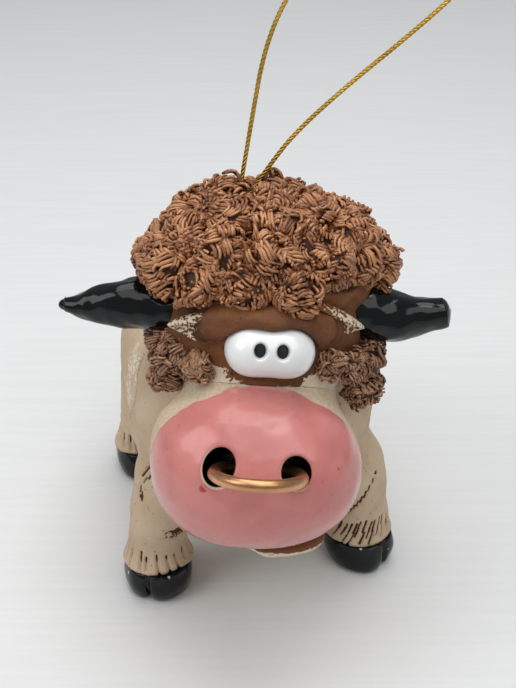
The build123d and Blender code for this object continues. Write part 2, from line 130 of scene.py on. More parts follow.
def toward(bearing: float, lift: float) -> Array:
    """The direction at a bearing round from the front and a lift above the horizon."""
    turn, rise = math.radians(bearing), math.radians(lift)
    return np.array([math.cos(rise) * math.sin(turn), -math.cos(rise) * math.cos(turn), math.sin(rise)])


def pitched(angle: float) -> tuple[Array, Array]:
    """The direction forward and up at a pitch, and the upward direction square to it."""
    way = toward(0.0, angle)
    return way, np.array([0.0, way[2], -way[1]])


@dataclass(frozen=True)
class Place:
    """A frame of its own: an origin, a turn about Z and then a tilt about its own Y."""

    origin: Point
    turn: float
    tilt: float

    def axes(self) -> Array:
        """The frame's own axes as the columns of a matrix."""
        turn, tilt = math.radians(self.turn), math.radians(self.tilt)
        about_z = [[math.cos(turn), -math.sin(turn), 0], [math.sin(turn), math.cos(turn), 0], [0, 0, 1]]
        about_y = [[math.cos(tilt), 0, math.sin(tilt)], [0, 1, 0], [-math.sin(tilt), 0, math.cos(tilt)]]
        return np.array(about_z) @ np.array(about_y)

    def out(self, points: Array) -> Array:
        """Carries points from this frame to the part's frame."""
        return points @ self.axes().T + np.array(self.origin)

    def into(self, points: Array) -> Array:
        """Carries points from the part's frame to this frame."""
        return (points - np.array(self.origin)) @ self.axes()


HEAD = Place((1.7, -10.4, 71.0), -10.0, 5.0)


class Ripple:
    """Smooth unevenness of hand-worked clay: a sum of sine waves in seeded directions."""

    def __init__(self, seed: int, wavelength: float, count: int = 12) -> None:
        """Draws the waves.

        Args:
            seed: Seed of the draw.
            wavelength: Middle wavelength, in millimetres.
            count: How many waves are added.
        """
        draw = np.random.default_rng(seed)
        lengths = wavelength * draw.uniform(0.65, 1.5, count)
        self.waves = unit(draw.normal(size=(count, 3))) * (2 * np.pi / lengths)[:, None]
        self.phases = draw.uniform(0, 2 * np.pi, count)
        self.share = math.sqrt(1 / count)

    def at(self, points: Array) -> Array:
        """The unevenness at each point, mostly between -1 and 1."""
        return np.sin(points @ self.waves.T + self.phases).sum(-1) * self.share


def worked(points: Array, waves: Waves) -> Array:
    """How far worked clay stands out: a sum of ripples, each a height, a seed and a wavelength."""
    return sum(height * Ripple(seed, wavelength).at(points) for height, seed, wavelength in waves)


@dataclass
class Skin:
    """A surface: points, four- and three-sided faces, marks per point and the finish it takes."""

    points: Array
    quads: Array
    tris: Array
    marks: dict[str, Array] = field(default_factory=dict)
    finish: int = 0

    def without(self, gone: Array) -> "Skin":
        """The surface without the faces that touch any of the given points.

        Args:
            gone: True for each point whose faces go.

        Returns:
            The opened surface, with its loose points dropped.
        """
        quads = self.quads[~gone[self.quads].any(1)]
        tris = self.tris[~gone[self.tris].any(1)]
        kept = np.zeros(len(self.points), bool)
        kept[quads.ravel()] = True
        kept[tris.ravel()] = True
        number = np.cumsum(kept) - 1
        marks = {name: values[kept] for name, values in self.marks.items()}
        return Skin(self.points[kept], number[quads], number[tris], marks, self.finish)

    def normals(self) -> Array:
        """The outward direction at each point: the sum of its faces' normals."""
        total = np.zeros_like(self.points)
        for faces in (self.quads, self.tris):
            corners = self.points[faces]
            flat = np.cross(corners[:, 2] - corners[:, 0], corners[:, -1] - corners[:, 1])
            for column in faces.T:
                np.add.at(total, column, flat)
        return total / np.maximum(np.linalg.norm(total, axis=1, keepdims=True), TINY)

    def raised(self, heights: Array) -> Array:
        """The points moved outward by a height each."""
        return self.points + self.normals() * heights[:, None]

    def turned(self) -> "Skin":
        """The same surface with its faces turned round."""
        return Skin(self.points, self.quads[:, ::-1], self.tris[:, ::-1], self.marks, self.finish)


def band_faces(rows: int, columns: int) -> Array:
    """The four-sided faces between closed rows of points that are numbered row by row."""
    first = np.arange(rows - 1)[:, None] * columns
    here = np.arange(columns)[None, :]
    after = (here + 1) % columns
    below = first + columns
    return np.stack([first + here, below + here, below + after, first + after], axis=-1).reshape(-1, 4)


def globe(polar: Array, around: Array, axis: Axis) -> Skin:
    """Unit directions over a ball, with the faces between them.

    The ring at polar angle t holds (cos t, sin t cos a, sin t sin a), whose first value lies along
    the poles' axis, and each end closes in one point.

    Args:
        polar: The rings' angles from the first pole, in radians, without the poles.
        around: The angles round the axis, in radians.
        axis: Where the poles lie.

    Returns:
        The ball of radius one.
    """
    t, a = np.meshgrid(polar, around, indexing="ij")
    rings = np.stack([np.cos(t), np.sin(t) * np.cos(a), np.sin(t) * np.sin(a)], axis=-1)
    points = np.concatenate([[[1.0, 0, 0]], rings.reshape(-1, 3), [[-1.0, 0, 0]]])
    count = len(around)
    here = np.arange(count)
    after = (here + 1) % count
    last = len(points) - 1
    base = last - count
    top = np.stack([np.zeros(count, int), 1 + here, 1 + after], axis=-1)
    bottom = np.stack([np.full(count, last), base + after, base + here], axis=-1)
    quads = 1 + band_faces(len(polar), count)
    return Skin(np.roll(points, axis.value, axis=1), quads, np.concatenate([top, bottom]))


def even_globe(rings: int, columns: int, axis: Axis) -> Skin:
    """A globe with even steps."""
    polar = np.linspace(0, np.pi, rings + 2)[1:-1]
    return globe(polar, np.arange(columns) * 2 * np.pi / columns, axis)


def lathe(rows: int, columns: int) -> tuple[Skin, Array, Array]:
    """A lathe about Z that has no shape yet.

    Args:
        rows: Rows from top to bottom.
        columns: Columns round it.

    Returns:
        The surface, each point's angle from the front and its share of the height.
    """
    skin = even_globe(rows, columns, Axis.Z)
    angle = np.arctan2(skin.points[:, 0], -skin.points[:, 1])
    share = np.concatenate([[1.0], np.repeat(np.linspace(1, 0, rows), columns), [0.0]])
    return skin, angle, share


def level_ways(angle: Array) -> Array:
    """Level unit directions at angles from the front."""
    return np.stack([np.sin(angle), -np.cos(angle), np.zeros_like(angle)], axis=-1)


def smoothed(values: Array, width: int) -> Array:
    """The running mean of values over an odd width, held level at both ends."""
    return np.convolve(np.pad(values, width // 2, mode="edge"), np.ones(width) / width, mode="valid")


def graded(count: int, low: float, high: float, centres: list[float], width: float, gain: float) -> Array:
    """Steps from low to high that crowd together near some centres.

    The density is 1 plus the gain times a bell of the given width at each centre, and the steps cut
    its running sum in equal shares.

    Args:
        count: How many steps.
        low: First value.
        high: Last value.
        centres: Where the steps crowd.
        width: Width of each crowd.
        gain: How much denser the steps are there.

    Returns:
        The steps, in order.
    """
    fine = np.linspace(low, high, 4000)
    density = 1 + gain * sum(np.exp(-(((fine - centre) / width) ** 2)) for centre in centres)
    total = np.cumsum(density)
    return np.interp(np.linspace(total[0], total[-1], count), total, fine)


def sweep(paths: Array, radii: Array, sides: int, reference: Array, cap: float = 0.6) -> Skin:
    """Round bars along paths, each closed by a point at both ends.

    Each ring lies square to its path, and its first spoke is the reference direction with the part
    along the path taken out.

    Args:
        paths: Ring middles, as bars by rings by 3.
        radii: Radius of each ring, or of each spoke, that fits bars by rings by sides.
        sides: Spokes per ring.
        reference: Direction of the first spoke, one per bar.
        cap: How far the end points stand out, in radii of the end ring.

    Returns:
        All bars as one surface, with the marks "along" (0 to 1) and "spoke" (0 to 1).
    """
    bars, rings = paths.shape[:2]
    along = unit(np.gradient(paths, axis=1))
    normal = reference[:, None, :] - (reference[:, None, :] * along).sum(-1, keepdims=True) * along
    normal = unit(normal)
    across = np.cross(along, normal)
    angle = np.arange(sides) * 2 * np.pi / sides
    radii = np.broadcast_to(radii, (bars, rings, sides))
    spokes = np.cos(angle)[:, None] * normal[:, :, None] + np.sin(angle)[:, None] * across[:, :, None]
    rims = paths[:, :, None] + radii[..., None] * spokes
    ends = np.stack([
        paths[:, 0] - along[:, 0] * radii[:, 0, :1] * cap,
        paths[:, -1] + along[:, -1] * radii[:, -1, :1] * cap,
    ], axis=1)
    points = np.concatenate([rims.reshape(bars, -1, 3), ends], axis=1)
    size = rings * sides + 2
    here = np.arange(sides)
    after = (here + 1) % sides
    last = (rings - 1) * sides
    first_cap = np.stack([np.full(sides, size - 2), after, here], axis=-1)
    last_cap = np.stack([np.full(sides, size - 1), last + here, last + after], axis=-1)
    offset = np.arange(bars)[:, None, None] * size
    quads = (band_faces(rings, sides)[None, :, [0, 3, 2, 1]] + offset).reshape(-1, 4)
    tris = (np.concatenate([first_cap, last_cap])[None] + offset).reshape(-1, 3)
    shares = np.repeat(np.linspace(0, 1, rings), sides)
    length_mark = np.tile(np.concatenate([shares, [0, 1]]), bars)
    spoke_mark = np.tile(np.concatenate([np.tile(angle / (2 * np.pi), rings), [0, 0]]), bars)
    return Skin(points.reshape(-1, 3), quads, tris, {"along": length_mark, "spoke": spoke_mark})


def lay_mesh(name: str, skins: list[Skin], finishes: list[Material]) -> Thing:
    """Puts surfaces into one mesh object at the origin, in metres.

    Args:
        name: Name of the piece.
        skins: The surfaces; each names its finish by number.
        finishes: The materials, in that order.

    Returns:
        The new object, shaded smooth, with every mark as a point attribute.
    """
    mesh = bpy.data.meshes.new(name)
    starts = np.cumsum([0] + [len(skin.points) for skin in skins])
    points = np.concatenate([skin.points for skin in skins])
    quads = np.concatenate([skin.quads + start for skin, start in zip(skins, starts)])
    tris = np.concatenate([skin.tris + start for skin, start in zip(skins, starts)])
    loops = np.concatenate([quads.ravel(), tris.ravel()]).astype(np.int32)
    firsts = np.concatenate([np.arange(len(quads)) * 4, len(quads) * 4 + np.arange(len(tris)) * 3])
    numbers = np.concatenate(
        [np.full(len(skin.quads), skin.finish) for skin in skins]
        + [np.full(len(skin.tris), skin.finish) for skin in skins]
    )
    mesh.vertices.add(len(points))
    mesh.vertices.foreach_set("co", (points * MM).astype(np.float32).ravel())
    mesh.loops.add(len(loops))
    mesh.loops.foreach_set("vertex_index", loops)
    mesh.polygons.add(len(firsts))
    mesh.polygons.foreach_set("loop_start", firsts.astype(np.int32))
    mesh.polygons.foreach_set("material_index", numbers.astype(np.int32))
    mesh.update(calc_edges=True)
    mesh.validate()
    mesh.shade_smooth()
    for mark in sorted({mark for skin in skins for mark in skin.marks}):
        values = [skin.marks.get(mark, np.zeros(len(skin.points))) for skin in skins]
        layer = mesh.attributes.new(mark, "FLOAT", "POINT")
        layer.data.foreach_set("value", np.concatenate(values).astype(np.float32))
    for finish in finishes:
        mesh.materials.append(finish)
    piece = bpy.data.objects.new(name, mesh)
    bpy.context.scene.collection.objects.link(piece)
    return piece


def seat(piece: Thing, node: str, body: Body = Body.COW) -> None:
    """Makes a piece ride on its body and stand for its node, and reports it.

    Args:
        piece: The finished piece.
        node: The solid that it stands for.
        body: The body that it moves with.
    """
    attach(piece, body.value)
    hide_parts(node)
    LOG.info("%s: %d faces on body %s", piece.name, len(piece.data.polygons), body.value)


def egg_field(points: Array, centre: Array, halves: Array) -> Array:
    """Nearly the distance to an egg.

    With q the offset over the half sizes and g the offset over their squares, it is
    |q| (|q| - 1) / |g|.

    Args:
        points: Where it is worked out.
        centre: Middle of the egg.
        halves: Half sizes along X, Y and Z.

    Returns:
        The distances, below zero inside.
    """
    offset = points - centre
    q = np.linalg.norm(offset / halves, axis=-1)
    g = np.linalg.norm(offset / halves**2, axis=-1)
    return q * (q - 1) / np.maximum(g, TINY)


def soften(one: Array, other: Array, reach: float) -> Array:
    """The nearer of two distances, rounded off over a reach where they are alike."""
    share = np.clip(0.5 + 0.5 * (other - one) / reach, 0, 1)
    return other + (one - other) * share - reach * share * (1 - share)


def settle(points: Array, form: Field, most: float, steps: int = 5) -> Array:
    """Moves points onto a form's surface, against its slope and by its value, step by step.

    Args:
        points: Points near the surface.
        form: Distance to the surface.
        most: The furthest that a point may move.
        steps: How many steps are taken.

    Returns:
        The moved points.
    """
    start, nudge = points, 0.02
    for _ in range(steps):
        slope = np.stack([
            (form(points + nudge * way) - form(points - nudge * way)) / (2 * nudge) for way in np.eye(3)
        ], axis=-1)
        points = points - slope * (form(points) / np.maximum((slope**2).sum(-1), 1e-6))[:, None]
        moved = points - start
        length = np.linalg.norm(moved, axis=-1, keepdims=True)
        points = start + moved * np.minimum(1, most / np.maximum(length, TINY))
    return points


def strokes(flat: Array, starts: Array, ends: Array, widths: Array) -> Array:
    """How deep tool strokes are pressed at each place of a flattened surface.

    A stroke is the bell exp(-(d / width)^2) of the distance d to its line, and the deepest one counts.

    Args:
        flat: Places on the surface, as pairs of millimetres.
        starts: Where each stroke starts.
        ends: Where each stroke ends.
        widths: Half width of each stroke.

    Returns:
        The depth of each place, from 0 to 1.
    """
    line = ends - starts
    offset = flat[:, None] - starts
    share = np.clip((offset * line).sum(-1) / np.maximum((line**2).sum(-1), TINY), 0, 1)
    distance = np.linalg.norm(offset - share[..., None] * line, axis=-1)
    return np.exp(-((distance / widths) ** 2)).max(1)


def rgb(code: str) -> tuple[float, float, float, float]:
    """A colour written as six hexadecimal digits, in Blender's linear values."""
    shares = [int(code[i:i + 2], 16) / 255 for i in (0, 2, 4)]
    return tuple([s / 12.92 if s <= 0.04045 else ((s + 0.055) / 1.055) ** 2.4 for s in shares] + [1.0])


class Desk:
    """Short hand for adding and wiring the nodes of one tree."""

    def __init__(self, tree: Tree) -> None:
        """Keeps the tree that the nodes go to."""
        self.tree = tree

    def node(self, kind: str, **settings: object) -> bpy.types.Node:
        """Adds a node and sets its properties."""
        made = self.tree.nodes.new(kind)
        for name, value in settings.items():
            setattr(made, name, value)
        return made

    def feed(self, socket: Socket, value: object) -> None:
        """Links a socket to another, or sets its own value; a colour is written as for rgb."""
        if isinstance(value, Socket):
            self.tree.links.new(value, socket)
        else:
            socket.default_value = rgb(value) if isinstance(value, str) else value

    def wired(self, kind: str, output: object, inputs: dict, **settings: object) -> Socket:
        """Adds a node and feeds its inputs.

        Args:
            kind: Blender's name for the node.
            output: Name or number of the output that is wanted.
            inputs: What goes to each input, by name or number.
            settings: Properties of the node.

        Returns:
            That output.
        """
        made = self.node(kind, **settings)
        for name, value in inputs.items():
            self.feed(made.inputs[name], value)
        return made.outputs[output]

    def noise(self, where: Socket, scale: float, detail: float) -> Socket:
        """Cloudy noise between 0 and 1."""
        return self.wired("ShaderNodeTexNoise", "Fac", {"Vector": where, "Scale": scale, "Detail": detail})

    def dots(self, where: Socket, scale: float) -> Socket:
        """Distance to the nearest of many scattered points, in cells."""
        return self.wired("ShaderNodeTexVoronoi", "Distance", {"Vector": where, "Scale": scale})

    def step(self, value: object, low: float, high: float) -> Socket:
        """A smooth step from 0 at low to 1 at high; low may lie above high."""
        ends = {"From Min": min(low, high), "From Max": max(low, high)}
        ends |= {"To Min": float(low > high), "To Max": float(low <= high), "Value": value}
        return self.wired("ShaderNodeMapRange", "Result", ends, interpolation_type="SMOOTHSTEP")

    def math(self, operation: str, one: object, other: object) -> Socket:
        """One operation on two values."""
        return self.wired("ShaderNodeMath", 0, {0: one, 1: other}, operation=operation)

    def vector(self, operation: str, one: object, other: object, output: str) -> Socket:
        """One operation on two vectors."""
        return self.wired("ShaderNodeVectorMath", output, {0: one, 1: other}, operation=operation)

    def mix(self, share: object, one: object, other: object) -> Socket:
        """A colour between two colours."""
        return self.wired("ShaderNodeMix", 2, {0: share, 6: one, 7: other}, data_type="RGBA")


DRIFT_DETAIL = 3.0
DRIFT_EDGES = (0.32, 0.68)
GRAIN_DETAIL = 4.0
DOT_EDGES = (0.16, 0.07)
DOT_DEPTH = 0.6
CLAY = ("clay_grain", 90.0, 1500.0, 420.0)
GLAZE = ("glaze_flow", 110.0, 260.0, 330.0)


@cache
def effect_group(name: str, coarse: float, fine: float, dotted: float) -> Tree:
    """A shared surface effect: slow drift, fine grain and scattered dots, with a height of both.

    Args:
        name: Name of the group.
        coarse: Drifts per metre.
        fine: Grains per metre.
        dotted: Dots per metre.

    Returns:
        The group, with the input Vector and the outputs Drift, Grain, Dots and Height.
    """
    tree = bpy.data.node_groups.new(name, "ShaderNodeTree")
    tree.interface.new_socket("Vector", in_out="INPUT", socket_type="NodeSocketVector")
    for output in ("Drift", "Grain", "Dots", "Height"):
        tree.interface.new_socket(output, in_out="OUTPUT", socket_type="NodeSocketFloat")
    desk = Desk(tree)
    where = desk.node("NodeGroupInput").outputs["Vector"]
    out = desk.node("NodeGroupOutput")
    drift = desk.step(desk.noise(where, coarse, DRIFT_DETAIL), *DRIFT_EDGES)
    grain = desk.noise(where, fine, GRAIN_DETAIL)
    dots = desk.step(desk.dots(where, dotted), *DOT_EDGES)
    height = desk.math("SUBTRACT", grain, desk.math("MULTIPLY", dots, DOT_DEPTH))
    for number, value in enumerate((drift, grain, dots, height)):
        desk.feed(out.inputs[number], value)
    return tree


class Shader(Desk):
    """One material's nodes, with its Principled surface."""

    def __init__(self, name: str) -> None:
        """Makes the material."""
        self.material = bpy.data.materials.new(name)
        self.material.use_nodes = True
        super().__init__(self.material.node_tree)
        self.surface = self.tree.nodes["Principled BSDF"]
        self.where = self.node("ShaderNodeTexCoord").outputs["Object"]

    def effect(self, recipe: tuple[str, float, float, float]) -> bpy.types.bpy_prop_collection:
        """The outputs of a shared effect that lies on the piece's own coordinates."""
        made = self.node("ShaderNodeGroup", node_tree=effect_group(*recipe))
        self.feed(made.inputs["Vector"], self.where)
        return made.outputs

    def mark(self, name: str) -> Socket:
        """The value of one of the piece's marks."""
        return self.node("ShaderNodeAttribute", attribute_name=name).outputs["Fac"]

    def set(self, **values: object) -> None:
        """Sets or links inputs of the surface; an underscore in a name stands for a space."""
        for name, value in values.items():
            self.feed(self.surface.inputs[name.replace("_", " ")], value)

    def bump(self, height: object, strength: float, depth: float) -> None:
        """Raises the surface's normal from a height.

        Args:
            height: Heights from 0 to 1.
            strength: Share of the effect.
            depth: What a height of 1 stands for, in millimetres.
        """
        inputs = {"Strength": strength, "Distance": depth * MM, "Height": height}
        self.set(Normal=self.wired("ShaderNodeBump", "Normal", inputs))


@dataclass(frozen=True)
class ClayFinish:
    """Matte slip or brown clay: a drifting base, a dark colour for brown stains in pressed marks and for
    painted shade, and pale dry-brushed edges.
    """

    name: str
    base: str
    drift: str
    # dark colour for brown stains in pressed marks and for painted shade in hollows, under rolls and
    # between curls
    stain: str
    pale: str
    roughness: float = 0.82
    specular: float = 0.3
    pale_grain: Pair = (0.34, 0.66)
    pale_edges: Pair = (1.02, 1.22)
    stain_and_shade_grain: float = 0.5
    stain_and_shade_edges: Pair = (0.62, 0.95)
    dot_share: float = 0.35
    grain: Pair = (0.5, 0.35)

    def material(self) -> Material:
        """Mixes the colours by drift, then by the marks "stain" and "pale" broken up by the grain."""
        shader = Shader(self.name)
        skin = shader.effect(CLAY)
        tone = shader.mix(skin["Drift"], self.base, self.drift)
        flecks = shader.step(skin["Grain"], *self.pale_grain)
        broken = shader.math("ADD", shader.mark("pale"), flecks)
        tone = shader.mix(shader.step(broken, *self.pale_edges), tone, self.pale)
        pores = shader.math("MULTIPLY", skin["Grain"], self.stain_and_shade_grain)
        stain_and_shade_amount = shader.math("ADD", shader.mark("stain"), pores)
        tone = shader.mix(shader.step(stain_and_shade_amount, *self.stain_and_shade_edges), tone, self.stain)
        dots = shader.math("MULTIPLY", skin["Dots"], self.dot_share)
        tone = shader.mix(dots, tone, self.stain)
        shader.set(Base_Color=tone, Roughness=self.roughness, Specular_IOR_Level=self.specular)
        shader.bump(skin["Height"], *self.grain)
        return shader.material


@dataclass(frozen=True)
class GlazeFinish:
    """A glassy glaze: two close colours that drift, pinholes of another, and a clear coat."""

    name: str
    base: str
    drift: str
    pinhole: str
    roughness: float
    pinholes: float
    ripple: float = 0.12
    ripple_depth: float = 1.2
    coat: float = 0.6
    coat_roughness: float = 0.05
    specular: float = 0.5
    rough_span: float = 0.08

    def material(self) -> Material:
        """Mixes the colours and lets the ripple bend the gloss."""
        shader = Shader(self.name)
        skin = shader.effect(GLAZE)
        tone = shader.mix(skin["Drift"], self.base, self.drift)
        holes = shader.math("MULTIPLY", skin["Dots"], shader.mark("pinholes"))
        tone = shader.mix(shader.math("MULTIPLY", holes, self.pinholes), tone, self.pinhole)
        uneven = shader.math("MULTIPLY", skin["Grain"], self.rough_span)
        rough = shader.math("ADD", uneven, self.roughness - self.rough_span / 2)
        shader.set(Base_Color=tone, Roughness=rough, Coat_Weight=self.coat)
        shader.set(Coat_Roughness=self.coat_roughness, Specular_IOR_Level=self.specular)
        shader.bump(skin["Grain"], self.ripple, self.ripple_depth)
        return shader.material


@dataclass(frozen=True)
class MuzzleFinish:
    """Pink glaze over the front of the muzzle, with a ragged edge on a bare cream rim."""

    name: str
    pink: str
    deep: str
    cream: str
    grain: str
    speck: str
    middle: Point
    axis: Point
    edge: float
    ragged: float = 0.09
    rag_scale: float = 420.0
    rag_detail: float = 5.0
    edge_width: float = 0.015
    dot_share: float = 0.25
    coat: float = 0.42
    coat_roughness: float = 0.12
    specular: float = 0.25
    rough_edges: Pair = (1.6, -0.35)
    glaze_height: float = 0.25
    ripple_height: float = 0.35
    relief: Pair = (0.35, 0.8)

    def material(self) -> Material:
        """Glazes what faces the axis: the cosine to it, made ragged by noise, passes the edge."""
        shader = Shader(self.name)
        skin = shader.effect(GLAZE)
        clay = shader.effect(CLAY)
        middle = tuple(value * MM for value in self.middle)
        offset = shader.vector("SUBTRACT", shader.where, middle, "Vector")
        way = shader.vector("NORMALIZE", offset, offset, "Vector")
        facing = shader.vector("DOT_PRODUCT", way, self.axis, "Value")
        rags = shader.noise(shader.where, self.rag_scale, self.rag_detail)
        ragged = shader.math("MULTIPLY_ADD", rags, self.ragged)
        shader.feed(ragged.node.inputs[2], facing)
        edge = self.edge + self.ragged / 2
        glazed = shader.step(ragged, edge, edge + self.edge_width)
        pink = shader.mix(skin["Drift"], self.pink, self.deep)
        pink = shader.mix(shader.mark("speck"), pink, self.speck)
        dots = shader.math("MULTIPLY", skin["Dots"], self.dot_share)
        pink = shader.mix(dots, pink, self.speck)
        cream = shader.mix(clay["Grain"], self.cream, self.grain)
        shader.set(Base_Color=shader.mix(glazed, cream, pink), Coat_Roughness=self.coat_roughness)
        shader.set(Coat_Weight=shader.math("MULTIPLY", glazed, self.coat))
        shader.set(Specular_IOR_Level=self.specular)
        shader.set(Roughness=shader.step(glazed, *self.rough_edges))
        ripple = shader.math("MULTIPLY", skin["Grain"], self.ripple_height)
        raised = shader.math("MULTIPLY", glazed, self.glaze_height)
        shader.bump(shader.math("ADD", raised, ripple), *self.relief)
        return shader.material


@dataclass(frozen=True)
class NostrilFinish:
    """The nostrils' lining: pink lip, a bare cream edge and near-black painted shade deep in the bore."""

    name: str
    pink: str
    deep: str
    cream: str
    # near-black painted shade deep in the bore
    inside: str
    roughness: float = 0.25
    coat: float = 0.5
    relief: Pair = (0.2, 0.6)

    def material(self) -> Material:
        """Mixes the colours by the marks "rim" and "deep"; "deep" lays the painted shade."""
        shader = Shader(self.name)
        skin = shader.effect(GLAZE)
        pink = shader.mix(skin["Drift"], self.pink, self.deep)
        tone = shader.mix(shader.mark("rim"), pink, self.cream)
        tone = shader.mix(shader.mark("deep"), tone, self.inside)
        shader.set(Base_Color=tone, Roughness=self.roughness, Coat_Weight=self.coat)
        shader.bump(skin["Grain"], *self.relief)
        return shader.material


@dataclass(frozen=True)
class CurlFinish:
    """Pressed clay curls: painted shade in the crevices, copper between, tan where the brush passed, and
    painted light on the sides that face out.
    """

    name: str
    # crevice_shade: painted shade for the deep gaps and the dark cores
    crevice_shade: str
    middle: str
    tan: str
    roughness: float = 0.45
    specular: float = 0.3
    coat: float = 0.5
    coat_roughness: float = 0.2
    grain_share: float = 0.35
    middle_edges: Pair = (0.15, 0.75)
    tan_edges: Pair = (0.55, 1.15)
    coat_edges: Pair = (0.5, 0.95)
    grain: Pair = (0.35, 0.25)

    def material(self) -> Material:
        """Runs from the painted crevice shade to tan by the marks "height" and "tone" and a little grain.
        """
        shader = Shader(self.name)
        skin = shader.effect(CLAY)
        pores = shader.math("MULTIPLY", skin["Grain"], self.grain_share)
        # the mark "height" is painted shade and light: low deep in the mop and on strands' inward sides,
        # high on their outward sides
        lift = shader.math("ADD", shader.mark("height"), pores)
        tone = shader.mix(shader.step(lift, *self.middle_edges), self.crevice_shade, self.middle)
        # the tan is dry-brushing, and partly painted light where "height" comes from facing outward
        brushed = shader.math("MULTIPLY", shader.step(lift, *self.tan_edges), shader.mark("tone"))
        tone = shader.mix(brushed, tone, self.tan)
        shader.set(Base_Color=tone, Roughness=self.roughness, Specular_IOR_Level=self.specular)
        shader.set(Coat_Weight=shader.math("MULTIPLY", shader.step(lift, *self.coat_edges), self.coat))
        shader.set(Coat_Roughness=self.coat_roughness)
        shader.bump(skin["Height"], *self.grain)
        return shader.material


@dataclass(frozen=True)
class WireFinish:
    """Drawn metal: two close colours that drift, and a fine grain in its gloss."""

    name: str
    base: str
    drift: str
    roughness: float
    rough_span: float = 0.25
    rough_drop: float = 0.12
    grain: Pair = (0.12, 0.1)

    def material(self) -> Material:
        """Mixes the colours by drift and spreads the roughness by the grain."""
        shader = Shader(self.name)
        skin = shader.effect(CLAY)
        tone = shader.mix(skin["Drift"], self.base, self.drift)
        rough = shader.math("MULTIPLY_ADD", skin["Grain"], self.rough_span)
        rough.node.inputs[2].default_value = self.roughness - self.rough_drop
        shader.set(Base_Color=tone, Roughness=rough, Metallic=1.0)
        shader.bump(skin["Grain"], *self.grain)
        return shader.material


@dataclass(frozen=True)
class FloorFinish:
    """Pale card with faint ribs across it."""

    name: str
    base: str
    rib: str
    stretch: Point = (20.0, 1.0, 1.0)
    turn: float = -12.0
    rib_scale: float = 520.0
    rib_detail: float = 2.0
    rib_edges: Pair = (0.3, 0.7)
    roughness: float = 0.9
    relief: Pair = (0.15, 0.3)

    def material(self) -> Material:
        """Stretches noise along X into ribs and turns them to the camera."""
        shader = Shader(self.name)
        turn = (0.0, 0.0, math.radians(self.turn))
        inputs = {"Vector": shader.where, "Scale": self.stretch, "Rotation": turn}
        place = shader.wired("ShaderNodeMapping", "Vector", inputs, vector_type="TEXTURE")
        ribs = shader.noise(place, self.rib_scale, self.rib_detail)
        tone = shader.mix(shader.step(ribs, *self.rib_edges), self.base, self.rib)
        shader.set(Base_Color=tone, Roughness=self.roughness)
        shader.bump(ribs, *self.relief)
        return shader.material


MUZZLE_MIDDLE = np.array([0.0, -20.97, -22.97])
MUZZLE_HALVES = np.array([22.0, 17.8, 17.8])
MUZZLE_POWER = 2.25
SKULL_HALVES = np.array([22.0, 20.0, 20.0])
FACE_SMOOTHING = 7.0
FACE_SETTLE = 3.6


def muzzle_field(points: Array) -> Array:
    """Distance to the muzzle, measured towards its middle.

    It is a solid of revolution about X: with s the share along X and r the share across, its surface
    is where the p-norm of s and r is 1, so that it is a little fuller than an egg.

    Args:
        points: Where it is worked out, in the head's frame.

    Returns:
        The distances, below zero inside.
    """
    offset = points - MUZZLE_MIDDLE
    shares = np.abs(offset / MUZZLE_HALVES)
    across = np.hypot(shares[..., 1], shares[..., 2])
    size = np.maximum((shares[..., 0] ** MUZZLE_POWER + across**MUZZLE_POWER) ** (1 / MUZZLE_POWER), 1e-6)
    return np.linalg.norm(offset, axis=-1) * (size - 1) / size


def skull_field(points: Array) -> Array:
    """Distance to the skull's egg, in the head's frame."""
    return egg_field(points, np.zeros(3), SKULL_HALVES)


def head_field(points: Array) -> Array:
    """Distance to skull and muzzle, smoothed together where they meet."""
    return soften(skull_field(points), muzzle_field(points), FACE_SMOOTHING)


PINK = "d0837d"
DEEP_PINK = "c27570"
GLAZE_WAY = (0.0, -0.995, 0.1)
GLAZE_EDGE = 0.11


class Palette:
    """Every finish of the ornament, mixed once."""

    def __init__(self) -> None:
        """Makes the materials."""
        middle = tuple(HEAD.out(MUZZLE_MIDDLE))
        axis = tuple(HEAD.axes() @ unit(np.array(GLAZE_WAY)))
        self.slip = ClayFinish("beige_slip", "cdb69b", "bda68a", "4f2e18", "e2d6c4").material()
        self.brown = ClayFinish(
            "brown_stain", "7d4e2a", "5c371d", "2c190f", "dac9b1", roughness=0.6
        ).material()
        # the lip's dark colour is painted shadow on its top
        self.lip = ClayFinish("lip_slip", "e2d3bd", "d3c0a6", "7a4a30", "e6dac8").material()
        self.black = GlazeFinish(
            "black_glaze", "050708", "0b0e10", "d8d8d2",
            roughness=0.1, pinholes=0.9, coat=0.2, specular=0.25,
        ).material()
        # near-black painted shade for the hollow inside of the muzzle
        self.hollow_shade = GlazeFinish(
            "nostril_glaze", "0a0b0b", "17120f", "302218", roughness=0.3, pinholes=0.2
        ).material()
        self.pupil = GlazeFinish(
            "pupil_glaze", "050505", "0a0909", "0a0909", roughness=0.6, pinholes=0.0, ripple=0.1, coat=0.0
        ).material()
        self.white = GlazeFinish(
            "white_glaze", "f7f7f5", "e6e7e7", "cfc8c4", roughness=0.14, pinholes=0.2, ripple=0.05
        ).material()
        self.pink = MuzzleFinish(
            "pink_glaze", PINK, DEEP_PINK, "dfceb5", "b39a7c", "b0403f", middle, axis, GLAZE_EDGE
        ).material()
        self.nostril = NostrilFinish("nostril_lining", PINK, DEEP_PINK, "d6c5b0", "0c0c0c").material()
        # the curls' first colour is painted shade for their crevices and cores
        self.curls = CurlFinish("clay_curls", "1c0d07", "743f22", "c88f62").material()
        self.cheeks = CurlFinish("clay_curls_dark", "1a0d08", "623c26", "b88a68").material()
        self.copper = WireFinish("copper_wire", "d8a67c", "c08d64", roughness=0.32).material()
        self.steel = WireFinish("steel_wire", "9a9a98", "7d7c79", roughness=0.4).material()
        self.gold = WireFinish("gold_cord", "cfa84c", "a98432", roughness=0.4).material()


@dataclass
class LegSpec:
    """One leg: its nodes, the strokes of its cuff and where its hoof's cleft looks."""

    end: str
    side: Side
    strokes: int
    slant: float
    rows: int
    seed: int
    cleft: float

    @property
    def name(self) -> str:
        """The leg's name without its kind."""
        return f"{self.end}_{self.side.name.lower()}"


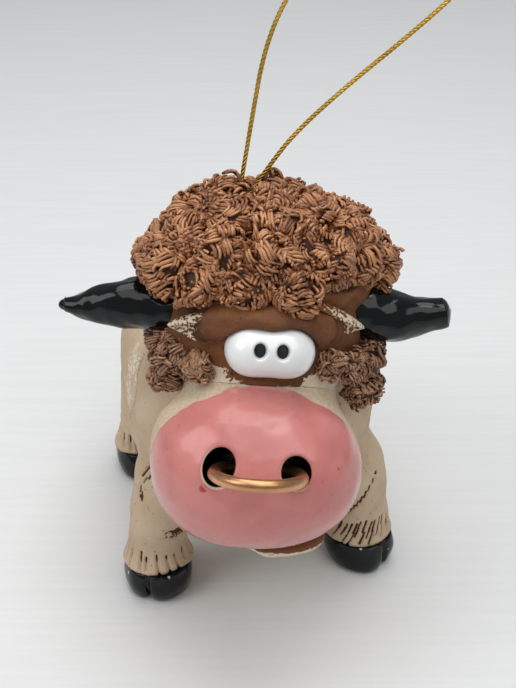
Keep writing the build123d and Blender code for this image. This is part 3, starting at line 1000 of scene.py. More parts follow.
@dataclass
class Trunk:
    """The loaf of the body and its four legs, whose clay is smoothed together."""

    palette: Palette
    middle: Point = (1.9, 15.7, 43.0)
    half_length: float = 34.0
    front_half_width: float = 30.0
    rear_half_width: float = 25.5
    half_height: float = 23.0
    end_power: float = 3.0
    section_power: float = 2.6
    smoothing: float = 5.0
    hoof_height: float = 7.6
    leg_rises: Values = (7.6, 12.6, 20.0, 36.0)
    leg_radii: Values = (7.8, 6.7, 7.65, 8.6)
    leg_lean: float = 6.5
    dome: float = 6.0
    cuff_top: float = 12.2
    vent_radius: float = 3.0
    vent_depth: float = 6.0
    loaf_waves: Waves = ((0.3, 21, 16.0), (0.06, 22, 3.0))
    streak: tuple[Pair, ...] = ((1.0, 57.5), (-1.6, 50.5), (-1.2, 46.0), (1.6, 40.0))
    streak_widths: Point = (1.7, 1.3, 0.7)
    streak_depth: float = 0.25
    streak_stain: float = 0.5
    flank_out: float = 15.0
    pale_middle: Pair = (4.6, 50.0)
    pale_halves: Pair = (6.6, 9.5)
    pale_edges: Pair = (1.0, 0.3)
    pale_share: float = 0.62
    hem_drop: float = 0.3
    hem_tilt: float = 0.9
    hem_wave: float = 0.35
    lobe_height: float = 0.35
    stroke_depth: float = 0.62
    stroke_lengths: Pair = (2.6, 4.6)
    stroke_widths: Pair = (0.22, 0.42)
    stroke_row: float = 2.2
    hoof_bulge: float = 3.2
    hoof_radii: Point = (6.9, 8.0, 7.3)
    hoof_rim: float = 0.08
    sole_round: float = 0.9
    cleft_depth: float = 1.9
    cleft_width: float = 0.55
    swell: Point = (0.45, 3.4, 2.4)
    toe: float = 1.1

    def __post_init__(self) -> None:
        """Finds where the hooves stand and lists the legs."""
        self.legs = [
            LegSpec("front", Side.RIGHT, strokes=19, slant=0.25, rows=1, seed=3, cleft=-26.0),
            LegSpec("front", Side.LEFT, strokes=33, slant=-0.9, rows=2, seed=5, cleft=30.0),
            LegSpec("rear", Side.RIGHT, strokes=21, slant=0.5, rows=1, seed=8, cleft=-4.0),
            LegSpec("rear", Side.LEFT, strokes=23, slant=-0.5, rows=1, seed=11, cleft=4.0),
        ]
        self.feet = {leg.name: self.foot(leg) for leg in self.legs}

    def foot(self, leg: LegSpec) -> Array:
        """The middle of a hoof, on the floor."""
        low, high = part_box(f"{leg.name}_hoof")
        return np.array([(low.x + high.x) / 2, (low.y + high.y) / 2, 0.0]) / MM

    def loaf_field(self, points: Array) -> Array:
        """Distance to the loaf, measured towards its middle.

        With s the share along Y, the section value is the p-norm of x over the half width at s and
        z over the half height, and the loaf is where the q-norm of that value and s is 1.

        Args:
            points: Where it is worked out.

        Returns:
            The distances, below zero inside.
        """
        offset = points - np.array(self.middle)
        share = offset[:, 1] / self.half_length
        front, rear = self.front_half_width, self.rear_half_width
        half_width = (front + rear + np.clip(share, -1.2, 1.2) * (rear - front)) / 2
        p, q = self.section_power, self.end_power
        across, up = np.abs(offset[:, 0] / half_width), np.abs(offset[:, 2] / self.half_height)
        section = (across**p + up**p) ** (1 / p)
        size = np.maximum((section**q + np.abs(share) ** q) ** (1 / q), 1e-6)
        return np.linalg.norm(offset, axis=-1) * (size - 1) / size

    def leg_line(self, leg: LegSpec, z: Array) -> tuple[Array, Array]:
        """A leg's middle and radius at heights: cubics through its four stations.

        Args:
            leg: The leg.
            z: Heights.

        Returns:
            The middles as points, and the radii.
        """
        rises = np.array(self.leg_rises)
        leans = -leg.side.value * self.leg_lean * np.array([0.0, 0.0, 0.25, 1.0])
        z = np.clip(z, rises[0] - 2, rises[-1])
        x = np.polyval(np.polyfit(rises, leans, 3), z)
        radius = np.polyval(np.polyfit(rises, self.leg_radii, 3), z)
        foot = self.feet[leg.name]
        return np.stack([foot[0] + x, np.full_like(z, foot[1]), z], axis=-1), radius

    def leg_field(self, leg: LegSpec, points: Array) -> Array:
        """Distance to one leg, level with each point and over its domed top."""
        middle, radius = self.leg_line(leg, points[:, 2])
        over = np.maximum(points[:, 2] - self.leg_rises[-1] + self.dome, 0) * radius / self.dome
        return np.hypot(np.linalg.norm(points[:, :2] - middle[:, :2], axis=-1), over) - radius

    def field(self, points: Array) -> Array:
        """Distance to the loaf and the legs as one smoothed form."""
        nearest = self.loaf_field(points)
        for leg in self.legs:
            nearest = soften(nearest, self.leg_field(leg, points), self.smoothing)
        return nearest

    def loaf(self) -> Skin:
        """The loaf's surface, smoothed into the legs, dented by hand and painted on its flanks."""
        skin = even_globe(150, 190, Axis.Y)
        points = skin.points * np.array([self.front_half_width, self.half_length, self.half_height])
        points = settle(points + np.array(self.middle), self.loaf_field, most=20.0, steps=8)
        skin.points = settle(points, self.field, most=3.0)
        points = skin.raised(worked(skin.points, self.loaf_waves))
        under = np.linalg.norm(points[:, :2] - np.array(self.middle[:2]), axis=-1)
        vent = ease(under, self.vent_radius, 0.6 * self.vent_radius)
        vent = np.where(points[:, 2] < self.middle[2], vent, 0)
        points[:, 2] += self.vent_depth * vent
        skin.points = points
        self.paint_flanks(skin, vent)
        return skin

    def paint_flanks(self, skin: Skin, vent: Array) -> None:
        """Marks the tapered streaks that run down both flanks behind the shoulder.

        A streak is a groove along a line in the flank's own Y and Z, with a pale field behind it.

        Args:
            skin: The loaf's surface; it gets the marks "stain" and "pale".
            vent: Where the vent's recess is painted dark, as shade.
        """
        flat = skin.points[:, 1:]
        bends = np.array(self.streak)
        aside = np.abs(skin.points[:, 0] - self.middle[0]) > self.flank_out
        groove = np.where(aside, strokes(flat, bends[:-1], bends[1:], np.array(self.streak_widths)), 0)
        away = np.hypot(*((flat - self.pale_middle) / self.pale_halves).T)
        paleness = ease(away + worked(skin.points, ((0.3, 23, 5.0),)), *self.pale_edges)
        skin.points = skin.raised(-self.streak_depth * groove)
        skin.marks = {
            # the grooves take brown stains; the vent's darkening is painted shade in its recess
            "stain": np.maximum(self.streak_stain * groove, vent),
            "pale": np.where(aside, self.pale_share * paleness, 0),
        }

    def leg(self, spec: LegSpec) -> Skin:
        """A leg: a lathe from cuff to shoulder, smoothed into the loaf, with pressed strokes.

        Args:
            spec: The leg.

        Returns:
            The leg's surface with the mark "stain".
        """
        skin, angle, share = lathe(120, 190)
        draw = np.random.default_rng(spec.seed)
        wave = self.hem_wave * np.sin(3 * angle + draw.uniform(0, 6))
        hem = self.hoof_height - self.hem_drop + self.hem_tilt * np.cos(angle) + wave
        top = self.leg_rises[-1]
        z = hem + share * (top - hem)
        middle, radius = self.leg_line(spec, z)
        radius = radius * np.sqrt(1 - np.clip((z - top + self.dome) / self.dome, 0, 1) ** 2)
        radius[[0, -1]] = 0
        skin.points = middle + level_ways(angle) * radius[:, None]
        ends = skin.points[[0, -1]].copy()
        skin.points = settle(skin.points, self.field, most=2.5)
        skin.points[[0, -1]] = ends
        low = skin.points[:, 2] < hem
        skin.points[low, 2] = hem[low]
        girth = self.leg_radii[1]
        pressed = strokes(np.stack([angle * girth, z], axis=-1), *self.cuff_strokes(spec, draw, girth))
        lobes = ease(z, self.cuff_top + 1.0, self.hoof_height) * self.lobe_height * (1 - pressed)
        rough = worked(skin.points, ((0.2, spec.seed, 11.0), (0.05, spec.seed + 1, 2.2)))
        skin.points = skin.raised((rough + lobes - self.stroke_depth * pressed) * (radius > 0))
        fade = 0.6 / spec.rows**3 * ease(z, hem + 3.4, hem + 1.6)
        skin.marks = {"stain": pressed * (0.9 - fade)}
        return skin

    def cuff_strokes(
        self, spec: LegSpec, draw: np.random.Generator, girth: float
    ) -> tuple[Array, Array, Array]:
        """The tool strokes round a leg's cuff, with a slanted row or scattered nicks up a front leg.

        Args:
            spec: The leg.
            draw: Seeded draw.
            girth: Radius at which angles are flattened.

        Returns:
            Starts, ends and half widths of the strokes on the flattened leg.
        """
        count = spec.strokes
        around = (np.arange(count) + draw.uniform(-0.25, 0.25, count)) * 2 * np.pi / count - np.pi
        tops, lengths = [], []
        for row in range(spec.rows):
            rise = self.cuff_top + self.stroke_row * row - 0.6 * (spec.rows - 1)
            rise = rise + draw.uniform(-0.7, 0.7, count)
            tops.append(np.stack([(around + 0.12 * row) * girth, rise], axis=-1))
            lengths.append(draw.uniform(*self.stroke_lengths, count) / spec.rows**0.5)
        if spec.end == "front" and spec.side is Side.LEFT:
            row = np.linspace(0, 1, 9)
            tops.append(np.stack([-3.6 + 8.4 * row, 17.5 + 11.5 * row], axis=-1))
            lengths.append(0.5 + 1.7 * np.sin(np.pi * row))
        if spec.end == "front" and spec.side is Side.RIGHT:
            nicks, dabs = 12, 110
            across, up = draw.uniform(-10.0, -7.0, nicks), draw.uniform(28, 35.5, nicks)
            tops.append(np.stack([across, up], axis=-1))
            lengths.append(draw.uniform(0.3, 1.6, nicks))
            tops.append(np.stack([draw.normal(2.7, 1.3, dabs), draw.normal(19.2, 0.8, dabs)], axis=-1))
            lengths.append(draw.uniform(0.0, 0.3, dabs))
        starts, length = np.concatenate(tops), np.concatenate(lengths)
        drop = np.stack([spec.slant * 0.45 * length, -length], axis=-1)
        widths = draw.uniform(*self.stroke_widths, len(starts))
        return starts, starts + drop, widths

    def hoof(self, spec: LegSpec) -> Skin:
        """A hoof: a lathe that bulges and rounds at its sole, pressed in at the cleft.

        The radius at height h runs through sole, bulge and top as a parabola; the cleft takes a
        narrow bell off it at the front, and a broad swelling stands on each side of the cleft.

        Args:
            spec: The hoof's leg.

        Returns:
            The hoof's surface with the mark "pinholes".
        """
        skin, angle, share = lathe(64, 200)
        run = (1 + 2 * self.hoof_rim) * share - self.hoof_rim
        z = self.hoof_height * np.clip(run, 0, 1)
        wall = np.polyval(np.polyfit([0, self.hoof_bulge, self.hoof_height], self.hoof_radii, 2), z)
        inset = np.clip(np.maximum(-run, run - 1), 0, self.hoof_rim) / self.hoof_rim
        radius = wall * np.sqrt(np.clip(1 - inset**2, 0, 1))
        rounded = self.sole_round * (ease(z, 1.4, 0.0) ** 2)
        arc = (angle - math.radians(spec.cleft)) * wall
        cleft = np.exp(-((arc / self.cleft_width) ** 2)) * (0.35 + 0.65 * ease(z, 6.5, 2.0))
        height, aside, width = self.swell
        swell = height * np.exp(-(((np.abs(arc) - aside) / width) ** 2))
        edge = (1 - inset) ** 0.5
        toe = self.toe * np.clip(np.cos(angle), 0, 1) ** 1.5
        radius = radius - edge * (rounded + self.cleft_depth * cleft - swell - toe)
        circle = level_ways(angle)
        skin.points = self.feet[spec.name] + circle * radius[:, None] + UPWARD * z[:, None]
        wave = worked(skin.points, ((0.22, spec.seed + 40, 9.0),))
        skin.points[:, :2] += circle[:, :2] * (wave * edge)[:, None]
        near_cuff = ease(z, 4.2, 6.2)
        skin.marks = {"pinholes": near_cuff if spec.end == "front" else 0.3 * near_cuff}
        return skin

    def build(self) -> None:
        """Lays the body, legs and hooves."""
        slip, black = [self.palette.slip], [self.palette.black]
        seat(lay_mesh("body_clay", [self.loaf()], slip), "body_shell")
        for spec in self.legs:
            leg = lay_mesh(f"{spec.name}_leg_clay", [self.leg(spec)], slip)
            seat(leg, f"{spec.name}_leg")
            hoof = lay_mesh(f"{spec.name}_hoof_glazed", [self.hoof(spec)], black)
            seat(hoof, f"{spec.name}_hoof")


@dataclass
class Face:
    """Skull, brow, ears, eyes and lip, in the head's own frame."""

    palette: Palette
    brow_span: float = 12.0
    brow_height: float = 8.8
    brow_drop: float = 2.0
    brow_radius: float = 3.4
    brow_smoothing: float = 2.6
    brow_tuck: float = 1.8
    eye_middle: Point = (0.6, -19.13, 3.5)
    eye_lobe: Point = (5.4, 5.6, 5.4)
    eye_spread: float = 3.7
    eye_smoothing: float = 4.6
    eye_pitch: float = 25.0
    pupil_spread: float = 2.25
    pupil_rise: float = 0.3
    pupil_halves: Pair = (1.15, 1.4)
    pupil_depth: float = 2.4
    right_ear: Values = (11.0, 8.5, 11.8, 24.0)
    left_ear: Values = (10.5, 11.0, 13.3, 30.0)
    ear_roll: float = 1.5
    ear_flap: float = 6.4
    ear_cup: float = 2.3
    ear_thickness: float = 1.45
    ear_sweep: float = 20.0
    lip_middle: Point = (6.5, -22.97, -39.97)
    lip_halves: Point = (9.5, 6.5, 3.2)
    skull_waves: Waves = ((0.16, 31, 8.0), (0.05, 32, 1.8))
    brow_waves: Waves = ((0.28, 34, 5.5), (0.05, 35, 1.6))

    def skull_front(self, x: Array, z: Array) -> Array:
        """The Y of the skull's front at x and z."""
        girth = SKULL_HALVES[1] ** 2 * (1 - (x / SKULL_HALVES[0]) ** 2)
        return -np.sqrt(np.maximum(girth - z**2, 0))

    def brow_line(self, share: Array) -> Array:
        """The brow's middle line: x from end to end, its height a parabola, on the skull's front."""
        x = share * self.brow_span
        z = self.brow_height - self.brow_drop * share**2
        return np.stack([x, self.skull_front(x, z), z], axis=-1)

    def brow_field(self, points: Array) -> Array:
        """Distance to the brow's roll, taken at the place of the line with the same x."""
        line = self.brow_line(np.clip(points[:, 0] / self.brow_span, -1, 1))
        return np.linalg.norm(points - line, axis=-1) - self.brow_radius

    def face_field(self, points: Array) -> Array:
        """Distance to skull, muzzle and brow, smoothed together."""
        return soften(head_field(points), self.brow_field(points), self.brow_smoothing)

    def skull(self) -> Skin:
        """The skull's egg, smoothed into the brow and worked by hand."""
        skin = even_globe(150, 180, Axis.X)
        skin.points = points = settle(skin.points * SKULL_HALVES, self.face_field, FACE_SETTLE)
        off_muzzle = muzzle_field(points)
        skin.points = skin.raised(worked(points, self.skull_waves) * ease(off_muzzle, 0.5, 4.0) - 0.04)
        near_eye = self.eye_field(points) + worked(points, ((0.5, 33, 2.5),))
        cream = ease(off_muzzle, 5.6, 4.6) * ease(near_eye, 1.6, 2.6)
        # the darkening round the eye pad's edge is painted shade where the pad meets the face; the cream
        # is paint
        skin.marks = {"pale": 1.2 * cream, "stain": 0.55 * ease(near_eye, 1.6, 0.2)}
        return skin

    def brow(self) -> Skin:
        """The brow's roll, smoothed into the skull, with knuckles pressed in by hand."""
        share = np.linspace(-1, 1, 70)
        radii = self.brow_radius * np.sqrt(np.clip(1.02 - np.abs(share) ** 8, 0.02, 1))
        skin = sweep(self.brow_line(share)[None], radii[None, :, None], 44, UPWARD[None])
        points = settle(skin.points, self.face_field, most=2.2)
        points[:, 1] += self.brow_tuck * ease(self.eye_field(points), 0.9, -0.3)
        skin.points = points
        skin.points = skin.raised(worked(points, self.brow_waves))
        # painted shade: the brow's underside turns dark
        under = ease(points[:, 2], self.brow_height - 1.5, self.brow_height - 4.0)
        skin.marks = {"stain": 0.45 * under, "pale": np.zeros(len(points))}
        return skin

    def ear(self, side: Side) -> Skin:
        """An ear: a thick roll along its top with a flap that hangs from it, cupped to the front.

        At share u along the ear the roll rises as a leaf curve, and the flap hangs as u to the power
        0.4 times 1 - u, so that its lowest corner is near the root.  A place at angle b round the
        section lies cos b of either up and sin b thicknesses forward, less the cup times 1 - cos^2 b.

        Args:
            side: Which ear.

        Returns:
            The ear's surface with the marks "pale" (dry-brushing) and "stain" (painted shade in its
            hollow).
        """
        rows, columns = 70, 64
        skin = even_globe(rows, columns, Axis.X)
        share = np.concatenate([[0.0], np.repeat(np.linspace(0.015, 0.985, rows), columns), [1.0]])
        around = np.concatenate([[0.0], np.tile(np.arange(columns) * 2 * np.pi / columns, rows), [0.0]])
        leaf = np.sin(np.pi * np.clip(share, 0, 1) ** 0.7) ** 0.5
        flap = 1.9 * share**0.4 * (1 - share)
        upper = np.cos(around) > 0
        up = np.cos(around) * np.where(upper, self.ear_roll * leaf, self.ear_flap * flap)
        thick = self.ear_thickness * np.where(upper, 1.25, 1.25 + 0.65 * np.cos(around)) * leaf
        forward = thick * np.sin(around) - self.ear_cup * flap * (1 - np.cos(around) ** 2) * ~upper
        aside, height, length, droop = self.right_ear if side is Side.RIGHT else self.left_ear
        root = np.array([side.value * aside, float(self.skull_front(aside, height)) - 1.0, height])
        droop, sweep_back = math.radians(droop), math.radians(self.ear_sweep)
        out = np.array([
            side.value * math.cos(droop) * math.cos(sweep_back),
            math.cos(droop) * math.sin(sweep_back),
            -math.sin(droop),
        ])
        front = unit(np.array([-0.15 * side.value, -1.0, 0.35]))
        front = unit(front - (front @ out) * out)
        rise = np.cross(front, out) * side.value
        rise = rise if rise[2] > 0 else -rise
        skin.points = (
            root + out * (length * share - 1.5)[:, None] + rise * up[:, None] + front * forward[:, None]
        )
        if np.linalg.det(np.stack([out, rise, front])) < 0:
            skin = skin.turned()
        skin.points = skin.points + worked(skin.points, ((0.16, 37 + side.value, 3.5),))[:, None] * front
        brushed = np.where(upper, ease(share, 0.0, 0.7), 0.6 * ease(share, 0.1, 0.75))
        # painted shade in the ear's hollow under the roll
        hollow = ~upper * (np.sin(around) > 0) * ease(share, 0.45, 0.1)
        skin.marks = {"pale": 0.2 + 0.7 * brushed, "stain": 0.5 * hollow}
        return skin

    def pupil_middle(self, side: Side) -> Array:
        """The place in the eye pad that a pupil's axis runs through."""
        shift = side.value * self.pupil_spread * ACROSS + self.pupil_rise * pitched(self.eye_pitch)[1]
        return np.array(self.eye_middle) + shift

    def eye_field(self, points: Array) -> Array:
        """Distance to the two lobes of the eye pad, smoothed at their waist."""
        middle, reach = np.array(self.eye_middle), np.array([self.eye_spread, 0, 0])
        halves = np.array(self.eye_lobe)
        lobes = egg_field(points, middle - reach, halves), egg_field(points, middle + reach, halves)
        return soften(*lobes, self.eye_smoothing)

    def eyes(self) -> Skin:
        """The eye pad, with a round pit pressed in for each pupil.

        A pit of depth d takes d / (1 + r^10) off along the look, with r the distance to its axis over
        its half sizes.
        """
        way, up = pitched(self.eye_pitch)
        polar = graded(170, 0.02, np.pi - 0.02, [1.25, np.pi - 1.25], 0.22, 4.0)
        around = graded(171, 0.0, 2 * np.pi, [np.pi - 0.44], 0.5, 5.0)[:-1]
        skin = globe(polar, around, Axis.X)
        wide = np.array(self.eye_lobe) + self.eye_spread * ACROSS
        points = settle(skin.points * wide + np.array(self.eye_middle), self.eye_field, most=4.0, steps=8)
        for side in Side:
            offset = points - self.pupil_middle(side)
            away = np.hypot(offset[:, 0] / self.pupil_halves[0], offset @ up / self.pupil_halves[1])
            pit = np.where(offset @ way > 0, 1 / (1 + away**10), 0)
            points = points - way * (self.pupil_depth * pit)[:, None]
        skin.points = points
        skin.marks = {"pinholes": np.zeros(len(points))}
        return skin

    def pupil_beads(self) -> Skin:
        """Two shallow dishes of black glaze at the bottoms of the pits."""
        way, up = pitched(self.eye_pitch)
        beads = even_globe(16, 28, Axis.X)
        wide = 1.06 * beads.points * np.array([*self.pupil_halves, 0.5])
        depth = self.eye_lobe[1] - self.pupil_depth + 0.75
        flat = way * depth + wide @ np.stack([ACROSS, up, way])
        both = [self.pupil_middle(side) + flat for side in Side]
        count = len(beads.points)
        quads = np.concatenate([beads.quads, beads.quads + count])
        tris = np.concatenate([beads.tris, beads.tris + count])
        return Skin(np.concatenate(both), quads, tris, {"pinholes": np.zeros(2 * count)})

    def lip(self) -> Skin:
        """The lower lip: a flat egg with a hand-pressed edge, darker on top with painted shadow from the
        muzzle.
        """
        skin = even_globe(60, 100, Axis.Z)
        points = skin.points * np.array(self.lip_halves) + np.array(self.lip_middle)
        points = points + unit(skin.points) * worked(points, ((0.3, 51, 6.0),))[:, None]
        skin.points = points
        # painted shadow: the faces that turn up, under the muzzle, go dark
        upper = skin.normals()[:, 2] + worked(points, ((0.12, 52, 1.6),))
        skin.marks = {"stain": 0.9 * ease(upper, -0.2, -0.02), "pale": np.zeros(len(points))}
        return skin

    def build(self) -> None:
        """Lays the pieces of the face."""
        palette = self.palette
        plan = [
            ("skull_clay", self.skull(), palette.brown, Slot.BROWN, "skull"),
            ("brow_roll", self.brow(), palette.brown, Slot.BROWN, "brow"),
            ("eye_pad_glazed", self.eyes(), palette.white, Slot.WHITE, "eye_pad"),
            ("pupil_beads", self.pupil_beads(), palette.pupil, Slot.BLACK, "pupils"),
            ("lower_lip_clay", self.lip(), palette.lip, Slot.SLIP, "lower_lip"),
        ]
        for side in Side:
            name = f"{side.name.lower()}_ear"
            plan.append((f"{name}_leaf", self.ear(side), palette.brown, Slot.BROWN, name))
        for name, skin, finish, slot, node in plan:
            skin.points = HEAD.out(skin.points)
            seat(lay_mesh(name, [skin], [finish]), node)


@dataclass
class Muzzle:
    """The hollow pink muzzle with its two nostrils, and the wire ring that hangs in them."""

    palette: Palette
    wall: float = 4.2
    lift: float = 30.0
    spread: float = 7.6
    aside: float = -0.8
    right_nostril: Values = (3.1, 4.0, 0.6, -16.0)
    left_nostril: Values = (3.0, 3.3, 0.3, 12.0)
    lip_share: float = 1.3
    ring_radius: float = 8.6
    ring_wire: float = 1.3
    ring_lift: float = 24.0
    ring_reach: float = 3.8
    ring_split: float = 1.2
    opening: float = 1.12
    waves: Waves = ((0.28, 61, 15.0), (0.05, 62, 5.0))
    speck_places: tuple[Point, ...] = ((-11.3, -36.3, -18.6), (15.2, -32.3, -15.1))
    speck_radii: Pair = (0.85, 0.6)

    def __post_init__(self) -> None:
        """Works out the nostrils' axis and the ring's hinge place, in the head's frame."""
        self.way, self.up = pitched(self.lift)
        walls = []
        for inset in (0.0, self.wall):
            share = self.spread / (MUZZLE_HALVES[0] - inset)
            walls.append((MUZZLE_HALVES[1] - inset) * math.sqrt(1 - share**2))
        self.hinge = MUZZLE_MIDDLE + self.aside * ACROSS + self.way * (sum(walls) / 2)

    def nostril(self, side: Side) -> Array:
        """The middle of one nostril, in its wall."""
        return self.hinge + side.value * self.spread * ACROSS + self.up * self.oval(side)[2]

    def oval(self, side: Side) -> Values:
        """A nostril's half width, half height, rise above the hinge and turn."""
        return self.right_nostril if side is Side.RIGHT else self.left_nostril

    def oval_axes(self, side: Side) -> Array:
        """A nostril's two half axes as rows, turned about its own axis."""
        width, height, _, turn = self.oval(side)
        cosine, sine = math.cos(math.radians(turn)), math.sin(math.radians(turn))
        return np.stack([
            width * (cosine * ACROSS + sine * self.up), height * (cosine * self.up - sine * ACROSS)
        ])

    def shares(self, points: Array, side: Side) -> Array:
        """Distance from a nostril's axis over its oval: 1 on its edge; far away behind the muzzle."""
        axes = self.oval_axes(side)
        flat = (points - self.nostril(side)) @ (axes / (axes**2).sum(1, keepdims=True)).T
        in_front = (points - MUZZLE_MIDDLE) @ self.way > 0
        return np.where(in_front, np.linalg.norm(flat, axis=-1), np.inf)

    def egg(self, inset: float, rings: int, columns: int) -> Skin:
        """An egg of the muzzle's form, open at the nostrils, with steps that crowd round them.

        Args:
            inset: How far inside the outer surface it lies.
            rings: Rings from side to side.
            columns: Columns round it.

        Returns:
            The egg in the head's frame, with the mark "speck".
        """
        tilt = math.acos(self.spread / MUZZLE_HALVES[0])
        polar = graded(rings, 0.02, np.pi - 0.02, [tilt, np.pi - tilt], 0.3, 2.5)
        around = graded(columns + 1, 0, 2 * np.pi, [np.pi - math.radians(self.lift)], 0.45, 2.5)[:-1]
        skin = globe(polar, around, Axis.X)
        points = skin.points * (MUZZLE_HALVES - inset) + MUZZLE_MIDDLE
        if inset == 0:
            points = settle(points, muzzle_field, most=2.0)
            stand = unit(skin.points) * self.uneven(points)[:, None]
            points = settle(points, head_field, FACE_SETTLE) + stand
        skin.points = points
        near = np.minimum(self.shares(skin.points, Side.RIGHT), self.shares(skin.points, Side.LEFT))
        skin.marks = {"speck": self.specks(skin.points)}
        return skin.without(near < self.opening)

    def uneven(self, points: Array) -> Array:
        """How far the glazed surface stands out at each place."""
        return worked(points, self.waves) * ease(skull_field(points), 0.5, 5.0)

    def specks(self, points: Array) -> Array:
        """Two red specks in the glaze, one beside each nostril."""
        distance = np.linalg.norm(points[:, None] - self.speck_places, axis=-1) / self.speck_radii
        return ease(distance.min(1), 1.1, 0.75)

    def sleeve(self, side: Side) -> Skin:
        """A nostril's lining: a lip that follows the egg, then a bore through the wall.

        At share r of the oval a place lies on the egg along the nostril's axis; from the lip's edge
        inwards a quarter circle turns it down into the bore.

        Args:
            side: Which nostril.

        Returns:
            The lining with the marks "deep" (painted shade down the bore) and "rim".
        """
        columns, lip = 72, 0.75
        flare = 0.3 * lip
        bend = np.linspace(0, np.pi / 2, 9)
        bore = np.linspace(0.3, self.wall + 1.2, 12)
        ledge = np.linspace(self.lip_share, 1 + flare, 5)
        shares = np.concatenate([ledge, 1 + flare * (1 - np.sin(bend)), np.ones(len(bore))])
        sinks = np.concatenate([np.full(len(ledge), -0.03), lip * (1 - np.cos(bend)), lip + bore])
        angle = np.arange(columns) * 2 * np.pi / columns
        circle = np.stack([np.cos(angle), np.sin(angle)], axis=-1)
        points = self.nostril(side) + shares[:, None, None] * (circle @ self.oval_axes(side))
        for _ in range(8):
            points = points - muzzle_field(points)[..., None] * self.way
        points = points + (self.uneven(points) - sinks[:, None])[..., None] * self.way
        rows = np.arange(len(shares))
        edge = np.repeat((rows > 7) & (rows < 15), columns).astype(float)
        lower_left = np.tile(ease(-0.8 * np.cos(angle) - 0.6 * np.sin(angle), -0.2, 0.5), len(rows))
        rim = edge * lower_left * (1.0 if side is Side.RIGHT else 0.5)
        # "deep" darkens the bore to near-black: painted shade
        marks = {"deep": np.repeat(ease(sinks, 0.35, 0.9), columns), "rim": rim}
        quads = band_faces(len(rows), columns)[:, ::-1]
        return Skin(points.reshape(-1, 3), quads, np.zeros((0, 3), int), marks, finish=1)

    def ring(self) -> Skin:
        """The split ring: a round wire bent to a circle that ends short of itself inside the muzzle."""
        forward = pitched(self.ring_lift)[0]
        centre = self.hinge + forward * self.ring_reach
        gap = self.ring_split / self.ring_radius
        angle = np.linspace(gap / 2, 2 * np.pi - gap / 2, 190)
        circle = np.outer(np.sin(angle), ACROSS) - np.outer(np.cos(angle), forward)
        path = centre + self.ring_radius * circle
        radii = self.ring_wire * (1 + worked(path, ((0.012, 71, 4.0),)))
        return sweep(path[None], radii[None, :, None], 26, np.cross(forward, ACROSS)[None], cap=0.1)

    def build(self) -> None:
        """Lays the muzzle and its ring."""
        # the muzzle's inside takes the near-black finish: painted shade seen through the nostrils
        inner = self.egg(self.wall, rings=60, columns=70).turned()
        inner.finish = 2
        ring = self.ring()
        skins = [self.egg(0.0, rings=180, columns=190), inner, *map(self.sleeve, Side)]
        for skin in (*skins, ring):
            skin.points = HEAD.out(skin.points)
        finishes = [self.palette.pink, self.palette.nostril, self.palette.hollow_shade]
        seat(lay_mesh("muzzle_glazed", skins, finishes), "muzzle")
        wire = lay_mesh("nose_ring_wire", [ring], [self.palette.copper])
        seat(wire, "nose_ring", Body.RING)


@dataclass
class HornSpec:
    """One horn: its side, root height and length, and its rises and girths at the horns' five places."""

    side: Side
    height: float
    length: float
    rises: Values
    girths: Values


@dataclass
class Horns:
    """Two black horns, formed by hand and sunk in the skull."""

    palette: Palette
    forward: float = 3.0
    root_radius: float = 5.7
    buried: float = 5.0
    places: Values = (0.0, 0.35, 0.7, 0.92, 1.0)
    tip_start: float = 0.94
    tip_length: float = 0.06

    def specs(self) -> list[HornSpec]:
        """The straight right horn and the left one that turns up at its tip."""
        sinks, bends = (0.0, -0.2, -0.8, -1.3, -1.6), (0.0, -1.1, -0.4, 0.7, 1.1)
        pointed, blunt = (1.0, 0.94, 0.62, 0.3, 0.16), (1.06, 0.96, 0.7, 0.54, 0.4)
        return [
            HornSpec(Side.RIGHT, height=3.2, length=21.0, rises=sinks, girths=pointed),
            HornSpec(Side.LEFT, height=4.6, length=18.0, rises=bends, girths=blunt),
        ]

    def horn(self, spec: HornSpec) -> Skin:
        """A horn: a round bar along a smooth line, rounded at its tip and dented by hand.

        The rise is a quartic through the horn's five places, the girth a smoothed line through
        them, and the last part closes as a quarter circle.

        Args:
            spec: The horn.

        Returns:
            The horn in the head's frame, with an empty mark "pinholes".
        """
        inward = (self.forward**2 + spec.height**2) / SKULL_HALVES[1] ** 2
        aside = SKULL_HALVES[0] * math.sqrt(1 - inward)
        bar = np.linspace(-self.buried / spec.length, self.tip_start, 80)
        share = np.concatenate([bar, 1 - self.tip_length * np.cos(np.linspace(0, 1.5, 16))])
        held = np.clip(share, 0, 1)
        rise = np.polyval(np.polyfit(self.places, spec.rises, 4), held)
        girth = smoothed(np.interp(held, self.places, spec.girths), 13)
        past = (share - self.tip_start) / (self.tip_length + 0.0001)
        girth = np.where(past > 0, girth * np.sqrt(np.clip(1 - past**2, 0.001, 1)), girth)
        path = np.stack([
            spec.side.value * (aside + spec.length * share),
            np.full_like(share, -self.forward),
            spec.height + rise,
        ], axis=-1)
        skin = sweep(path[None], (self.root_radius * girth)[None, :, None], 56, UPWARD[None], cap=0.3)
        dents = worked(skin.points, ((0.3, 81 + spec.side.value, 9.0), (0.1, 83, 3.5)))
        skin.points = skin.raised(dents * ease(skin.marks["along"], 1.0, 0.85))
        skin.marks = {"pinholes": np.zeros(len(dents))}
        return skin

    def build(self) -> None:
        """Lays both horns."""
        for spec in self.specs():
            skin = self.horn(spec)
            skin.points = HEAD.out(skin.points)
            name = f"{spec.side.name.lower()}_horn"
            seat(lay_mesh(f"{name}_glazed", [skin], [self.palette.black]), name)


@dataclass
class Tuft:
    """One ball of curls: its middle, radius and which way it faces."""

    middle: Array
    radius: float
    facing: Array


